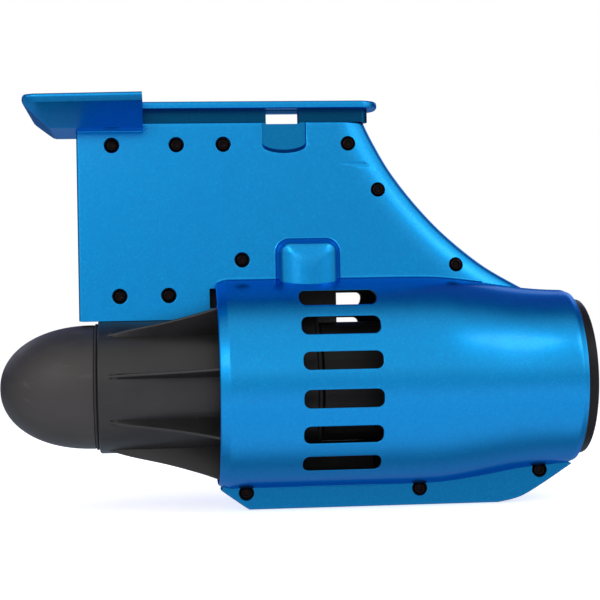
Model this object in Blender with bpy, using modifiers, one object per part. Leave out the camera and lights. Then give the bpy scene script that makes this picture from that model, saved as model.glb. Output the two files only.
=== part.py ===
"""Powered fin: an underwater scooter that slides under a board on a T-shaped base rail.

A battery and motor pod hangs inside a slotted duct under a hollow fin. The two shells that make the fin, the
duct and the keel meet on the mid-plane and are screwed together from the port side.

Frame: +X runs along the pod from the nose to the outlet, +Z up, -Y is the port side. The origin is the centre
of the base rail's top face. Lengths below are millimetres.
"""

import math

import bmesh
import bpy
from mathutils import Matrix, Vector

MM = 0.001
GAP = 0.3  # clearance between pieces that touch
SPLIT = 0.15  # each shell stops this far from the mid-plane

AXIS_Z = -161.0  # height of the duct, pod and propeller axis
NOSE_TIP_X = -133.8
NOSE_BACK_X = -80.1
NOSE_R = 35.2
NOSE_POWER = 2.15  # exponent of the nose's superellipse
NOSE_WALL = 3.0
NECK_R = 34.3
NECK_END_X = -72.0

POD_FRONT_X = -78.0
POD_REAR_X = 44.2
POD_R = 38.0
POD_BORE_R = 35.0
VANE_ANGLES = (50, 10, -30, -70, -110, -150, 170, 130)
VANE_THICK = 3.0

DUCT_FRONT_X = -11.5
DUCT_R = 60.0
DUCT_BORE_R = 57.0
DUCT_BORE_END_X = 98.0
SEAT_X = 169.5  # the bore that seats the stator and the nozzle ring starts here
SEAT_R = 47.7
DUCT_END_X = 192.6
SHELL_WALL = 3.0
# Each slot's middle above the axis, and its height.
SLOTS = ((47.8, 8.2), (32.5, 9.6), (13.3, 9.6), (-7.5, 9.9), (-27.3, 9.4), (-43.8, 8.3))
SLOT_X = 55.6
SLOT_LENGTH = 43.5
SLOT_CORNER = 3.6
SLOT_REACH = (20.0, 66.0)  # from the mid-plane: the slots are cut sideways through the wall

FIN_HALF = 9.0
FIN_FRONT_X = -88.5
FIN_TOP_Z = -11.5
FIN_FOOT_Z = -124.8
FIN_EDGE = 0.8  # rounding along the outline of the fin
STRUT_REAR_X = 57.8
STRUT_STEP_X = 46.9  # behind this the strut reaches down past the pod to the drive hub
STRUT_STEP_Z = -128.0
STRUT_BORE_R = 35.2
KEEL_HALF = 8.0
KEEL_Z = -232.7
BUMP_X = 40.5
BUMP_R = 18.3
BUMP_TOP_Z = -78.7

RAIL_END_X = 84.3
RAIL_HALF = 14.0
RAIL_THICK = 4.2
WEB_HALF = 5.0
WEB_END_X = 78.9
TONGUE_HALF = 3.0
TONGUE_X = (-82.0, 72.0)
TONGUE_Z = -29.5
WINDOW_X = (19.7, 38.7)
WINDOW_Z = (-12.3, -4.6)
WEDGE_BACK_X = -50.6
WEDGE_Z = -16.2

SCREW_HEAD_R = 3.5
SCREW_HEAD = 3.2
SCREW_R = 1.95
CLEARANCE_R = 2.3  # radius of the holes that a screw passes through
COUNTERBORE_R = 4.25
SEAT_Y = 4.6  # the screw heads bear on a step this far from the mid-plane
SCREW_END_Y = 6.0
FIN_SCREWS = (
    (-68.6, -24.0), (-32.0, -24.0), (-5.3, -24.0), (66.7, -24.0), (83.5, -50.8),
    (128.2, -94.7), (4.3, -90.3), (-65.4, -109.9), (-37.7, -109.9),
)
KEEL_SCREWS = ((4.3, -223.1), (104.1, -223.1), (174.5, -214.5))
TOP_ROW = 4  # the first fin screws also pass through the rail's tongue

CAVITY_X = (-80.0, 72.0)
CAVITY_Z = (-80.0, -34.0)
CAVITY_HALF = 6.0
MOTOR_CABLE_X = 30.0
BATTERY_CABLE_X = 15.5
BUTTON_X, BUTTON_Z = -60.0, -52.0
LED_X = -44.0
CHARGE_X, CHARGE_Z = 46.0, -52.0

CELL_R = 9.2
CELL_LENGTH = 65.0
CELL_FRONT_X = -60.0
CELL_RING_R = 18.9
MOTOR_FRONT_X = 19.0
MOTOR_REAR_X = 41.0
MOTOR_R = 27.0
SHAFT_R = 4.0
BLADE_R = 53.0
DRIVE_HUB_R = 34.3
DRIVE_HUB_X = (47.4, 120.0)
BLADE_X = 100.0
BLADES = 4
STATOR_VANES = 5
RING_X = 200.8


def clear_scene():
    for thing in list(bpy.data.objects):
        bpy.data.objects.remove(thing)


def make_collection(name):
    group = bpy.data.collections.new(name)
    bpy.context.scene.collection.children.link(group)
    return group


def make_material(name, colour, roughness, metallic=0.0):
    material = bpy.data.materials.new(name)
    material.use_nodes = True
    shader = material.node_tree.nodes["Principled BSDF"]
    shader.inputs["Base Color"].default_value = (*colour, 1.0)
    shader.inputs["Roughness"].default_value = roughness
    shader.inputs["Metallic"].default_value = metallic
    return material


clear_scene()
PARTS = make_collection("powered_fin")
CUTTERS = make_collection("Cutters")
FRAME_OF = {
    # local axes that carry an outline, or a turned profile, onto each world axis
    "X": Matrix(((0, 0, 1), (1, 0, 0), (0, 1, 0))),
    "Y": Matrix(((1, 0, 0), (0, 0, -1), (0, 1, 0))),
    "Z": Matrix(((1, 0, 0), (0, 1, 0), (0, 0, 1))),
}
TURN_OF = {
    "X": Matrix.Rotation(-math.pi / 2, 3, "Y"),
    "Y": Matrix.Rotation(math.pi / 2, 3, "X"),
    "Z": Matrix.Rotation(math.pi, 3, "X"),
}


def add_object(name, mesh, place):
    """Link a new object at a 4x4 matrix whose translation is in metres."""
    thing = bpy.data.objects.new(name, mesh)
    thing.matrix_world = place
    PARTS.objects.link(thing)
    return thing


def placed(turn, centre):
    return Matrix.Translation(Vector(centre) * MM) @ turn.to_4x4()


def finish(thing, material, angle=35):
    thing.data.materials.clear()
    thing.data.materials.append(material)
    thing.data.shade_smooth()
    thing.data.set_sharp_from_angle(angle=math.radians(angle))
    return thing


def curve_to_mesh(name, curve, place):
    """A curve as a closed mesh object, its caps welded to its sides."""
    guide = add_object(name + "_guide", curve, place)
    bpy.context.view_layer.update()
    solid = bpy.data.meshes.new_from_object(guide.evaluated_get(bpy.context.evaluated_depsgraph_get()))
    bpy.data.objects.remove(guide)
    work = bmesh.new()
    work.from_mesh(solid)
    bmesh.ops.remove_doubles(work, verts=work.verts, dist=0.01 * MM)
    bmesh.ops.recalc_face_normals(work, faces=work.faces)
    work.to_mesh(solid)
    work.free()
    return add_object(name, solid, place)


def plate(name, outline, axis, low, high, edge=0.0):
    """A flat outline extruded along an axis, from low to high, with its edges rounded by edge."""
    curve = bpy.data.curves.new(name, "CURVE")
    curve.dimensions = "2D"
    curve.fill_mode = "BOTH"
    curve.extrude = ((high - low) / 2 - edge) * MM
    curve.bevel_depth = edge * MM
    curve.offset = -edge * MM
    curve.bevel_resolution = 0
    spline = curve.splines.new("POLY")
    spline.points.add(len(outline) - 1)
    for point, (across, up) in zip(spline.points, outline, strict=True):
        point.co = (across * MM, up * MM, 0.0, 1.0)
    spline.use_cyclic_u = True
    centre = FRAME_OF[axis] @ Vector((0.0, 0.0, (low + high) / 2))
    if axis == "Y":
        centre = Vector((0.0, (low + high) / 2, 0.0))
    return curve_to_mesh(name, curve, placed(FRAME_OF[axis], centre))


def turned(name, profile, axis, centre, steps=48, closed=False):
    """A profile of (along, radius) pairs, in rising order along its outer side, turned about an axis."""
    mesh = bpy.data.meshes.new(name)
    work = bmesh.new()
    corners = [work.verts.new((radius * MM, 0.0, -along * MM)) for along, radius in profile]
    for one, other in zip(corners, corners[1:], strict=False):
        work.edges.new((one, other))
    if closed:
        work.edges.new((corners[-1], corners[0]))
    work.to_mesh(mesh)
    work.free()
    thing = add_object(name, mesh, placed(TURN_OF[axis], centre))
    screw = thing.modifiers.new("Turn", "SCREW")
    screw.steps = screw.render_steps = steps
    screw.use_merge_vertices = True
    screw.merge_threshold = 0.00001
    return thing


def box(name, x_range, y_range, z_range):
    """A box between two limits on each axis."""
    mesh = bpy.data.meshes.new(name)
    work = bmesh.new()
    bmesh.ops.create_cube(work, size=1.0)
    ranges = (x_range, y_range, z_range)
    size = [(high - low) * MM for low, high in ranges]
    bmesh.ops.scale(work, vec=size, verts=work.verts)
    work.to_mesh(mesh)
    work.free()
    centre = [(low + high) / 2 for low, high in ranges]
    return add_object(name, mesh, placed(Matrix.Identity(3), centre))


def rounded_box_outline(width, height, corner, arc_steps=2):
    """A centred rectangle with round corners."""
    outline = []
    for quarter, (side, up) in enumerate(((1, 1), (-1, 1), (-1, -1), (1, -1))):
        for step in range(arc_steps + 1):
            angle = math.pi / 2 * (quarter + step / arc_steps)
            across = side * (width / 2 - corner) + corner * math.cos(angle)
            outline.append((across, up * (height / 2 - corner) + corner * math.sin(angle)))
    return outline


def combine(target, tool, operation):
    """Join the tool to the target or cut it away, and put the tool among the cutters."""
    step = target.modifiers.new(operation.title(), "BOOLEAN")
    step.operation = operation
    step.solver = "EXACT"
    step.object = tool
    PARTS.objects.unlink(tool)
    CUTTERS.objects.link(tool)
    tool.hide_render = True
    tool.display_type = "WIRE"


def join(target, tool):
    combine(target, tool, "UNION")


def cut(target, tool):
    combine(target, tool, "DIFFERENCE")


def smooth_line(points, steps=4):
    """A Catmull-Rom line through the given points."""
    ends = [points[0], *points, points[-1]]
    line = []
    for i in range(1, len(ends) - 2):
        before, start, end, after = (Vector(ends[k]) for k in (i - 1, i, i + 1, i + 2))
        for step in range(steps):
            t = step / steps
            place = (
                2 * start + (end - before) * t
                + (2 * before - 5 * start + 4 * end - after) * t**2
                + (3 * start - before - 3 * end + after) * t**3
            ) / 2
            line.append(tuple(place))
    line.append(tuple(points[-1]))
    return line


def duct_outer(steps=2):
    """The duct's outer side from its front rim to its rear end, as (along, radius) pairs."""
    bends = [(DUCT_BORE_END_X, DUCT_R), (118, 59.4), (140, 56.6), (162, 53.0), (177, 51.3), (188, 50.7)]
    taper = smooth_line(bends, steps)
    rim = [(DUCT_FRONT_X, DUCT_R - 2.2), (DUCT_FRONT_X + 5.6, DUCT_R)]
    return [*rim, *taper, (191.2, 50.2), (DUCT_END_X, 49.1)]


def duct_radius(along):
    """The duct's outer radius at a place along it."""
    line = duct_outer()
    for (x0, r0), (x1, r1) in zip(line, line[1:], strict=False):
        if x0 <= along <= x1:
            return r0 + (r1 - r0) * (along - x0) / (x1 - x0)
    return line[-1][1]


def duct_bore():
    """The duct's inner side, one wall inside its outer side, with the seat bore behind it."""
    taper = [(x, r - SHELL_WALL) for x, r in duct_outer(1) if DUCT_BORE_END_X <= x < SEAT_X - 4]
    seat = [(SEAT_X, duct_radius(SEAT_X) - SHELL_WALL), (SEAT_X, SEAT_R), (DUCT_END_X, SEAT_R)]
    return [(DUCT_FRONT_X, DUCT_BORE_R), *taper, *seat]


def fin_outline():
    """Fin, with the strut that goes on down through the duct to the pod."""
    upper = [(76.5, FIN_TOP_Z), (82, -23), (91.7, -40), (106, -59)]
    lower = [(123.4, -77.5), (145.5, -95.6), (169, -109.4)]
    rear = smooth_line(upper + lower, 3)
    wall = [(x, AXIS_Z + duct_radius(x) - 2.6) for x in (169, 158, 145, 130, 110, 90, STRUT_REAR_X)]
    step_x = STRUT_STEP_X + GAP
    step = [(STRUT_REAR_X, STRUT_STEP_Z), (step_x, STRUT_STEP_Z)]
    foot = [*step, (step_x, FIN_FOOT_Z), (FIN_FRONT_X, FIN_FOOT_Z)]
    return [(FIN_FRONT_X, FIN_TOP_Z), *rear, *wall, *foot]


def keel_outline():
    """Keel flange below the duct, its upper side inside the duct's wall."""
    wall = [(x, AXIS_Z - duct_radius(x) + 1.8) for x in (-9, 60, 100, 130, 150, 170, 190)]
    under = smooth_line([(194, -211.4), (177, -222.2), (163, -229.8), (150, KEEL_Z)], 3)
    return [*wall, *under, (6, KEEL_Z), (-10, -221.5)]


def bump_profile():
    """Round-topped pillar that swells out of the fin above the duct."""
    corner = 6.0
    arc = [
        (BUMP_TOP_Z - corner + corner * math.cos(a), BUMP_R - corner + corner * math.sin(a))
        for a in (math.radians(90 - 30 * k) for k in range(4))
    ]
    foot = AXIS_Z + 56.8  # inside the duct's wall beside the strut
    return [(foot, 0), (foot, BUMP_R), *arc, (BUMP_TOP_Z, 0)]


def screw_hole(name, place, half, side):
    """Counterbore and clearance hole on the port side, a blind thread hole on the starboard side."""
    across, up = place
    if side < 0:
        mouth = [(-half - 4, 0), (-half - 4, COUNTERBORE_R), (-SEAT_Y, COUNTERBORE_R)]
        profile = [*mouth, (-SEAT_Y, CLEARANCE_R), (2, CLEARANCE_R), (2, 0)]
    else:
        end, thread_r = SCREW_END_Y + GAP, SCREW_R + 0.25
        profile = [(-2, 0), (-2, thread_r), (end, thread_r), (end, 0)]
    return turned(name, profile, "Y", (across, 0, up), 10)


def duct_slot(name, slot, side):
    """One intake slot, cut sideways through the duct's wall."""
    middle, height = slot
    corners = rounded_box_outline(SLOT_LENGTH, height, SLOT_CORNER)
    outline = [(SLOT_X + across, AXIS_Z + middle + up) for across, up in corners]
    near, far = sorted(side * reach for reach in SLOT_REACH)
    return plate(name, outline, "Y", near, far)


def finger_recess(side):
    """Shallow recess below the window for the finger that works the lock."""
    low, high = WINDOW_X[0] - 2.6, WINDOW_X[1] + 3.7
    middle, half = (low + high) / 2, (high - low) / 2
    straight_z, sag = -24.8, 4.5
    arc = [
        (middle + half * math.cos(a), straight_z + sag * math.sin(a))
        for a in (math.radians(-180 + 30 * k) for k in range(7))
    ]
    depth = 2.6
    near, far = sorted((side * (FIN_HALF - depth), side * (FIN_HALF + 3)))
    return plate("finger_recess", [(low, FIN_TOP_Z + 3), *arc, (high, FIN_TOP_Z + 3)], "Y", near, far)


def edge_scallop(side):
    """Conical scoop that opens toward the fin's trailing edge."""
    tip, mouth = Vector((60.0, side * FIN_HALF, -35.5)), Vector((94.0, side * (FIN_HALF + 7.0), -37.0))
    reach = (mouth - tip).length
    scoop = turned("edge_scallop", [(0, 0), (reach, 10.2), (reach, 0)], "X", (0, 0, 0), 14)
    turn = Vector((1.0, 0.0, 0.0)).rotation_difference(mouth - tip).to_matrix() @ TURN_OF["X"]
    scoop.matrix_world = placed(turn, tip)
    return scoop


def cable_channel(name, along, side):
    """Groove in the strut for a cable, from the fin's hollow down to the pod."""
    near, far = sorted((-side * 2, side * 3.2))
    return box(name, (along - 3.2, along + 3.2), (near, far), (FIN_FOOT_Z - 2, CAVITY_Z[0] + 2))


def make_shell(name, side, paint):
    """One half of the fin, duct and keel: side is -1 for port, 1 for starboard."""
    shell = turned(name, duct_outer() + duct_bore()[::-1], "X", (0, 0, AXIS_Z), 36, closed=True)
    join(shell, plate("keel", keel_outline(), "Y", -KEEL_HALF, KEEL_HALF, 1.2))
    join(shell, turned("bump", bump_profile(), "Z", (BUMP_X, 0, 0), 24))
    join(shell, plate("fin", fin_outline(), "Y", -FIN_HALF, FIN_HALF, FIN_EDGE))
    near, far = sorted((side * SPLIT, -side * 80))
    cut(shell, box("other_half", (-140, 220), (near, far), (-250, 10)))
    pod_room = [(-140, 0), (-140, POD_R + GAP), (STRUT_STEP_X, POD_R + GAP)]
    hub_room = [(STRUT_STEP_X, STRUT_BORE_R), (STRUT_REAR_X + 10, STRUT_BORE_R), (STRUT_REAR_X + 10, 0)]
    cut(shell, turned("pod_room", pod_room + hub_room, "X", (0, 0, AXIS_Z), 36))
    near, far = sorted((-side * 2, side * CAVITY_HALF))
    cut(shell, box("fin_hollow", CAVITY_X, (near, far), CAVITY_Z))
    near, far = sorted((-side * 2, side * (TONGUE_HALF + GAP)))
    cut(shell, box("tongue_pocket", (TONGUE_X[0] - GAP, TONGUE_X[1] + GAP), (near, far), (TONGUE_Z - GAP, 0)))
    cut(shell, cable_channel("motor_cable_channel", MOTOR_CABLE_X, side))
    cut(shell, cable_channel("battery_cable_channel", BATTERY_CABLE_X, side))
    cut(shell, finger_recess(side))
    cut(shell, edge_scallop(side))
    window = ((WINDOW_X[0], WINDOW_X[1]), (-20, 20), (WINDOW_Z[0], 0))
    cut(shell, box("window", *window))
    for number, slot in enumerate(SLOTS, 1):
        cut(shell, duct_slot(f"slot_{number}", slot, side))
    for number, place in enumerate(FIN_SCREWS, 1):
        cut(shell, screw_hole(f"fin_screw_hole_{number}", place, FIN_HALF, side))
    for number, place in enumerate(KEEL_SCREWS, 1):
        cut(shell, screw_hole(f"keel_screw_hole_{number}", place, KEEL_HALF, side))
    if side < 0:
        cut(shell, box("drain_notch", (-14.6, -10.7), (-30, 0.5), (-117.5, -106.3)))
    else:
        round_hole(shell, "button_hole", (BUTTON_X, BUTTON_Z), 6.0)
        round_hole(shell, "led_hole", (LED_X, BUTTON_Z), 2.8)
        round_hole(shell, "charge_hole", (CHARGE_X, CHARGE_Z), 7.0)
    return finish(shell, paint)


def round_hole(shell, name, place, radius):
    """A plain hole through the starboard wall of the fin's hollow."""
    profile = [(CAVITY_HALF - 2, 0), (CAVITY_HALF - 2, radius), (FIN_HALF + 2, radius), (FIN_HALF + 2, 0)]
    cut(shell, turned(name, profile, "Y", (place[0], 0, place[1]), 14))


def rail_outline(end, half, corner):
    """A long plate's plan, square at the front and rounded at the rear."""
    rear = [
        (end - corner + corner * math.cos(a), side * (half - corner + corner * math.sin(side * a)))
        for side, angles in ((-1, range(-90, 1, 30)), (1, range(0, 91, 30)))
        for a in map(math.radians, angles)
    ]
    return [(-RAIL_END_X, -half), *rear, (-RAIL_END_X, half)]


def make_base_rail(paint):
    """T-shaped rail with the lock window, and the tongue that the shells clamp."""
    rail = plate("base_rail", rail_outline(RAIL_END_X, RAIL_HALF, 12.0), "Z", -RAIL_THICK, 0.0, 0.6)
    join(rail, plate("web", rail_outline(WEB_END_X, WEB_HALF, 4.8), "Z", FIN_TOP_Z + GAP, -RAIL_THICK + 1))
    join(rail, box("tongue", TONGUE_X, (-TONGUE_HALF, TONGUE_HALF), (TONGUE_Z, FIN_TOP_Z + 1)))
    cut(rail, box("rail_window", WINDOW_X, (-20, 20), WINDOW_Z))
    for number, (across, up) in enumerate(FIN_SCREWS[:TOP_ROW], 1):
        hole = [(-5, 0), (-5, CLEARANCE_R), (5, CLEARANCE_R), (5, 0)]
        cut(rail, turned(f"tongue_hole_{number}", hole, "Y", (across, 0, up), 12))
    for number, place in enumerate(wedge_screw_places(), 1):
        cut(rail, turned(f"rail_screw_hole_{number}", countersunk(GAP), "Z", (*place, 0), 8))
    return finish(rail, paint)


def wedge_screw_places():
    return [(along, across) for along in (-76.0, -58.0) for across in (-8.4, 8.4)]


def countersunk(room):
    """A countersunk screw's outline, or with room to spare its hole's."""
    top = 0.3 if room else -0.2
    end, neck = -10.6 - room, -1.9 - room
    shank_r, head_r = 1.5 + room, 3.0 + room
    return [(end, 0), (end, shank_r), (neck, shank_r), (-0.4, head_r), (top, head_r), (top, 0)]


def make_front_wedge(paint):
    """Wide wedge that slides on the rail's front end and fairs it to the board."""
    tip_x, corner = -116.2, 7.0
    top = [(WEDGE_BACK_X, 52.6), (tip_x + corner, 47.2), (tip_x + 1.5, 44.2), (tip_x, 39.5)]
    bottom = [(WEDGE_BACK_X, 24.0), (-99.0, 24.0), (-102.5, 21.0)]
    mesh = bpy.data.meshes.new("front_wedge")
    work = bmesh.new()
    for side in (-1, 1):
        for along, across in top:
            for lift, shrink in ((0.0, 1.2), (-1.4, 0.0), (-4.6, 0.4)):
                back = shrink if along < -60 else 0.0
                work.verts.new(Vector((along + back, side * (across - shrink), lift)) * MM)
        for along, across in bottom:
            work.verts.new(Vector((along, side * across, WEDGE_Z)) * MM)
    hull = bmesh.ops.convex_hull(work, input=work.verts)
    spare = {v for v in hull["geom_interior"] + hull["geom_unused"] if isinstance(v, bmesh.types.BMVert)}
    bmesh.ops.delete(work, geom=list(spare), context="VERTS")
    bmesh.ops.recalc_face_normals(work, faces=work.faces)
    work.to_mesh(mesh)
    work.free()
    wedge = add_object("front_wedge", mesh, Matrix.Identity(4))
    ahead = RAIL_END_X + GAP
    cut(wedge, box("rail_room", (-ahead, 0), (-RAIL_HALF - GAP, RAIL_HALF + GAP), (-RAIL_THICK - GAP, 5)))
    cut(wedge, box("web_room", (-ahead, 0), (-WEB_HALF - GAP, WEB_HALF + GAP), (-14, 1)))
    fin_room = FIN_HALF + GAP
    cut(wedge, box("fin_room", (FIN_FRONT_X - GAP, 0), (-fin_room, fin_room), (-20, FIN_TOP_Z + GAP)))
    for number, place in enumerate(wedge_screw_places(), 1):
        hole = [(-13, 0), (-13, 1.8), (5, 1.8), (5, 0)]
        cut(wedge, turned(f"wedge_screw_hole_{number}", hole, "Z", (*place, 0), 8))
    return finish(wedge, paint, 25)


def make_screws(steel):
    """Socket screws that close the shells, and the countersunk ones that hold the wedge."""
    key_r, key_deep = 1.75, 2.0
    for number, (across, up) in enumerate(FIN_SCREWS + KEEL_SCREWS, 1):
        seat = -SEAT_Y - 0.1
        head = seat - SCREW_HEAD
        crown = [(head, 0), (head, 3.1), (head + 0.4, SCREW_HEAD_R), (seat, SCREW_HEAD_R)]
        profile = [*crown, (seat, SCREW_R), (SCREW_END_Y, SCREW_R), (SCREW_END_Y, 0)]
        screw = turned(f"shell_screw_{number:02d}", profile, "Y", (across, 0, up), 8)
        socket = [(head - 1, 0), (head - 1, key_r), (head + key_deep, key_r), (head + key_deep, 0)]
        cut(screw, turned(f"shell_screw_socket_{number:02d}", socket, "Y", (across, 0, up), 6))
        finish(screw, steel)
    for number, place in enumerate(wedge_screw_places(), 1):
        screw = turned(f"wedge_screw_{number}", countersunk(0), "Z", (*place, 0), 8)
        socket = [(-1.6, 0), (-1.6, 1.1), (1, 1.1), (1, 0)]
        cut(screw, turned(f"wedge_screw_socket_{number}", socket, "Z", (*place, 0), 6))
        finish(screw, steel)


def vane_outline():
    """Rib that rises from the pod's front to the duct's bore and runs on inside it."""
    rise = smooth_line([(-74.5, POD_R), (-60, 42), (-40, 47), (-22, 52.6), (-12, 56.4)], 2)
    return [(-74.5, POD_R - 1.5), *rise, (20, 56.4), (26, 50), (30, POD_R - 1.5)]


def make_pod(plastic):
    """Pod housing: a tube with the eight vanes that carry it in the duct."""
    front = [(POD_FRONT_X, POD_BORE_R), (POD_FRONT_X, POD_R - 1), (POD_FRONT_X + 1, POD_R)]
    tube = [*front, (POD_REAR_X, POD_R), (POD_REAR_X, POD_BORE_R)]
    pod = turned("pod_housing", tube, "X", (0, 0, AXIS_Z), 36, closed=True)
    for number, angle in enumerate(VANE_ANGLES, 1):
        vane = plate(f"vane_{number}", vane_outline(), "Y", -VANE_THICK / 2, VANE_THICK / 2)
        lean = Matrix.Rotation(math.radians(90 - angle), 3, "X")
        vane.matrix_world = placed(lean @ FRAME_OF["Y"], (0, 0, AXIS_Z))
        join(pod, vane)
    for name, along in (("motor_cable_hole", MOTOR_CABLE_X), ("battery_cable_hole", BATTERY_CABLE_X)):
        hole = [(30, 0), (30, 2.9), (45, 2.9), (45, 0)]
        cut(pod, turned(name, hole, "Z", (along, 0, AXIS_Z), 12))
    return finish(pod, plastic)


def nose_profile(back, radius, tip, steps):
    """Superellipse nose from its tip to its back."""
    length = back - tip
    line = []
    for step in range(steps + 1):
        angle = math.pi / 2 * step / steps
        along = back - length * math.cos(angle) ** (2 / NOSE_POWER)
        line.append((along, radius * math.sin(angle) ** (2 / NOSE_POWER)))
    line[0] = (tip, 0.0)
    line[-1] = (back, radius)
    return line


def make_nose(plastic, rubber):
    """Screw-on nose cap with its threaded neck, and the seal behind it."""
    outer = nose_profile(NOSE_BACK_X, NOSE_R, NOSE_TIP_X, 6)
    inner = nose_profile(NOSE_BACK_X, NECK_R - NOSE_WALL, NOSE_TIP_X + NOSE_WALL, 4)
    neck = [(NOSE_BACK_X, NECK_R), (NECK_END_X, NECK_R), (NECK_END_X, NECK_R - NOSE_WALL)]
    cap = turned("nose_cap", outer + neck + inner[::-1], "X", (0, 0, AXIS_Z), 28)
    finish(cap, plastic)
    front, back = NOSE_BACK_X + 0.2, POD_FRONT_X - GAP
    middle, inner, edge = (front + back) / 2, NECK_R + GAP, NOSE_R + 0.2
    ring = [(front, inner), (front, edge), (middle, edge + 0.6), (back, edge), (back, inner)]
    finish(turned("nose_seal", ring, "X", (0, 0, AXIS_Z), 28, closed=True), rubber)


def cell_places():
    return [
        (CELL_RING_R * math.cos(a), AXIS_Z + CELL_RING_R * math.sin(a))
        for a in (math.radians(60 * k) for k in range(6))
    ]


def make_battery(sleeve, plastic, green):
    """Six cells between two holders, with the protection board behind them."""
    end = CELL_FRONT_X + CELL_LENGTH
    for number, (across, up) in enumerate(cell_places(), 1):
        base = [(CELL_FRONT_X, 0), (CELL_FRONT_X, CELL_R - 0.5), (CELL_FRONT_X + 0.5, CELL_R)]
        can = [*base, (end - 1.8, CELL_R)]
        top = [(end - 1.4, CELL_R - 0.8), (end - 1.4, 3.2), (end, 3.2), (end, 0)]
        finish(turned(f"cell_{number}", can + top, "X", (0, across, up), 10), sleeve)
    front_place = ("cell_holder_front", CELL_FRONT_X - 4, CELL_FRONT_X + 2)
    for name, low, high in (front_place, ("cell_holder_rear", end - 4, end + 2)):
        disc = [(low, 3.0), (low, POD_BORE_R - GAP), (high, POD_BORE_R - GAP), (high, 3.0)]
        holder = turned(name, disc, "X", (0, 0, AXIS_Z), 20, closed=True)
        for number, (across, up) in enumerate(cell_places(), 1):
            deep = (CELL_FRONT_X - GAP, high + 2) if low < CELL_FRONT_X else (low - 2, end + GAP)
            socket = [(deep[0], 0), (deep[0], CELL_R + 0.15), (deep[1], CELL_R + 0.15), (deep[1], 0)]
            cut(holder, turned(f"{name}_socket_{number}", socket, "X", (0, across, up), 10))
        finish(holder, plastic)
    disc = [(end + 3.6, 3.0), (end + 3.6, 33.0), (end + 5.2, 33.0), (end + 5.2, 3.0)]
    finish(turned("battery_board", disc, "X", (0, 0, AXIS_Z), 24, closed=True), green)


def make_motor(dark_metal, bright_metal, copper, rubber):
    """Flat brushless motor on the aluminium plug that closes the pod's rear end."""
    centre = (0, 0, AXIS_Z)
    case_end, case_bore, floor_x = MOTOR_REAR_X - GAP, MOTOR_R - 3.0, MOTOR_FRONT_X + 2.0
    outside = [(MOTOR_FRONT_X, 0), (MOTOR_FRONT_X, MOTOR_R), (case_end, MOTOR_R)]
    case = [*outside, (case_end, case_bore), (floor_x, case_bore), (floor_x, 0)]
    finish(turned("motor_case", case, "X", centre, 28), dark_metal)
    stator = [(23.0, 16.0), (23.0, 23.7), (38.5, 23.7), (38.5, 16.0)]
    finish(turned("motor_stator", stator, "X", centre, 24, closed=True), copper)
    plug_r, flange_x = POD_BORE_R - GAP, POD_REAR_X + 0.2
    plug = [(MOTOR_REAR_X, 11.3), (MOTOR_REAR_X, plug_r), (flange_x, plug_r), (flange_x, POD_R)]
    rim = [(46.0, POD_R), (46.6, POD_R - 0.6), (46.6, 14.0)]
    back = [*rim, (54.0, 13.0), (54.0, 7.3), (46.6, 7.3), (46.6, 11.3)]
    finish(turned("motor_mount", plug + back, "X", centre, 28, closed=True), bright_metal)
    for name, low, high, radius in (("front_bearing", 21.3, 24.3, 8.0), ("rear_bearing", 41.2, 46.3, 11.0)):
        bearing = [(low, SHAFT_R + GAP), (low, radius), (high, radius), (high, SHAFT_R + GAP)]
        finish(turned(name, bearing, "X", centre, 20, closed=True), bright_metal)
    seal = [(47.2, SHAFT_R + GAP), (47.2, 7.0), (53.6, 7.0), (53.6, SHAFT_R + GAP)]
    finish(turned("shaft_seal", seal, "X", centre, 20, closed=True), rubber)


def make_drive(dark_metal, bright_metal, plastic):
    """Rotor, shaft, propeller and tail cone, which turn together."""
    centre = (0, 0, AXIS_Z)
    rotor = [(24.6, SHAFT_R + GAP), (24.6, 15.3), (37.5, 15.3), (37.5, SHAFT_R + GAP)]
    finish(turned("motor_rotor", rotor, "X", centre, 24, closed=True), dark_metal)
    shaft = [(21.6, 0), (21.6, SHAFT_R - 0.4), (22.0, SHAFT_R), (124.0, SHAFT_R), (124.0, 0)]
    finish(turned("drive_shaft", shaft, "X", centre, 20), bright_metal)
    make_propeller(plastic)
    bore, front = SHAFT_R + GAP, DRIVE_HUB_X[1] + GAP
    cone = [(126.0, 0), (126.0, bore), (front, bore), (front, 26.0), (128.0, 19.5), (134.5, 12.0), (134.5, 0)]
    finish(turned("tail_cone", cone, "X", centre, 24), plastic)


def blade_mesh():
    """One twisted blade as an open sheet, root inside the hub."""
    rows, columns = 5, 4
    work = bmesh.new()
    grid = []
    for row in range(rows):
        share = row / (rows - 1)
        radius = DRIVE_HUB_R - 3 + (BLADE_R - DRIVE_HUB_R + 3) * share
        pitch = math.atan2(26.0, radius)
        chord = 30.0 + 4.0 * share
        line = []
        for column in range(columns):
            across = (column / (columns - 1) - 0.5) * chord
            sweep = across * math.cos(pitch) / radius
            along = across * math.sin(pitch)
            place = Vector((along, radius * math.sin(sweep), radius * math.cos(sweep)))
            line.append(work.verts.new(place * MM))
        grid.append(line)
    for lower, upper in zip(grid, grid[1:], strict=False):
        for k in range(columns - 1):
            work.faces.new((lower[k], lower[k + 1], upper[k + 1], upper[k]))
    mesh = bpy.data.meshes.new("blade")
    work.to_mesh(mesh)
    work.free()
    return mesh


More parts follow.
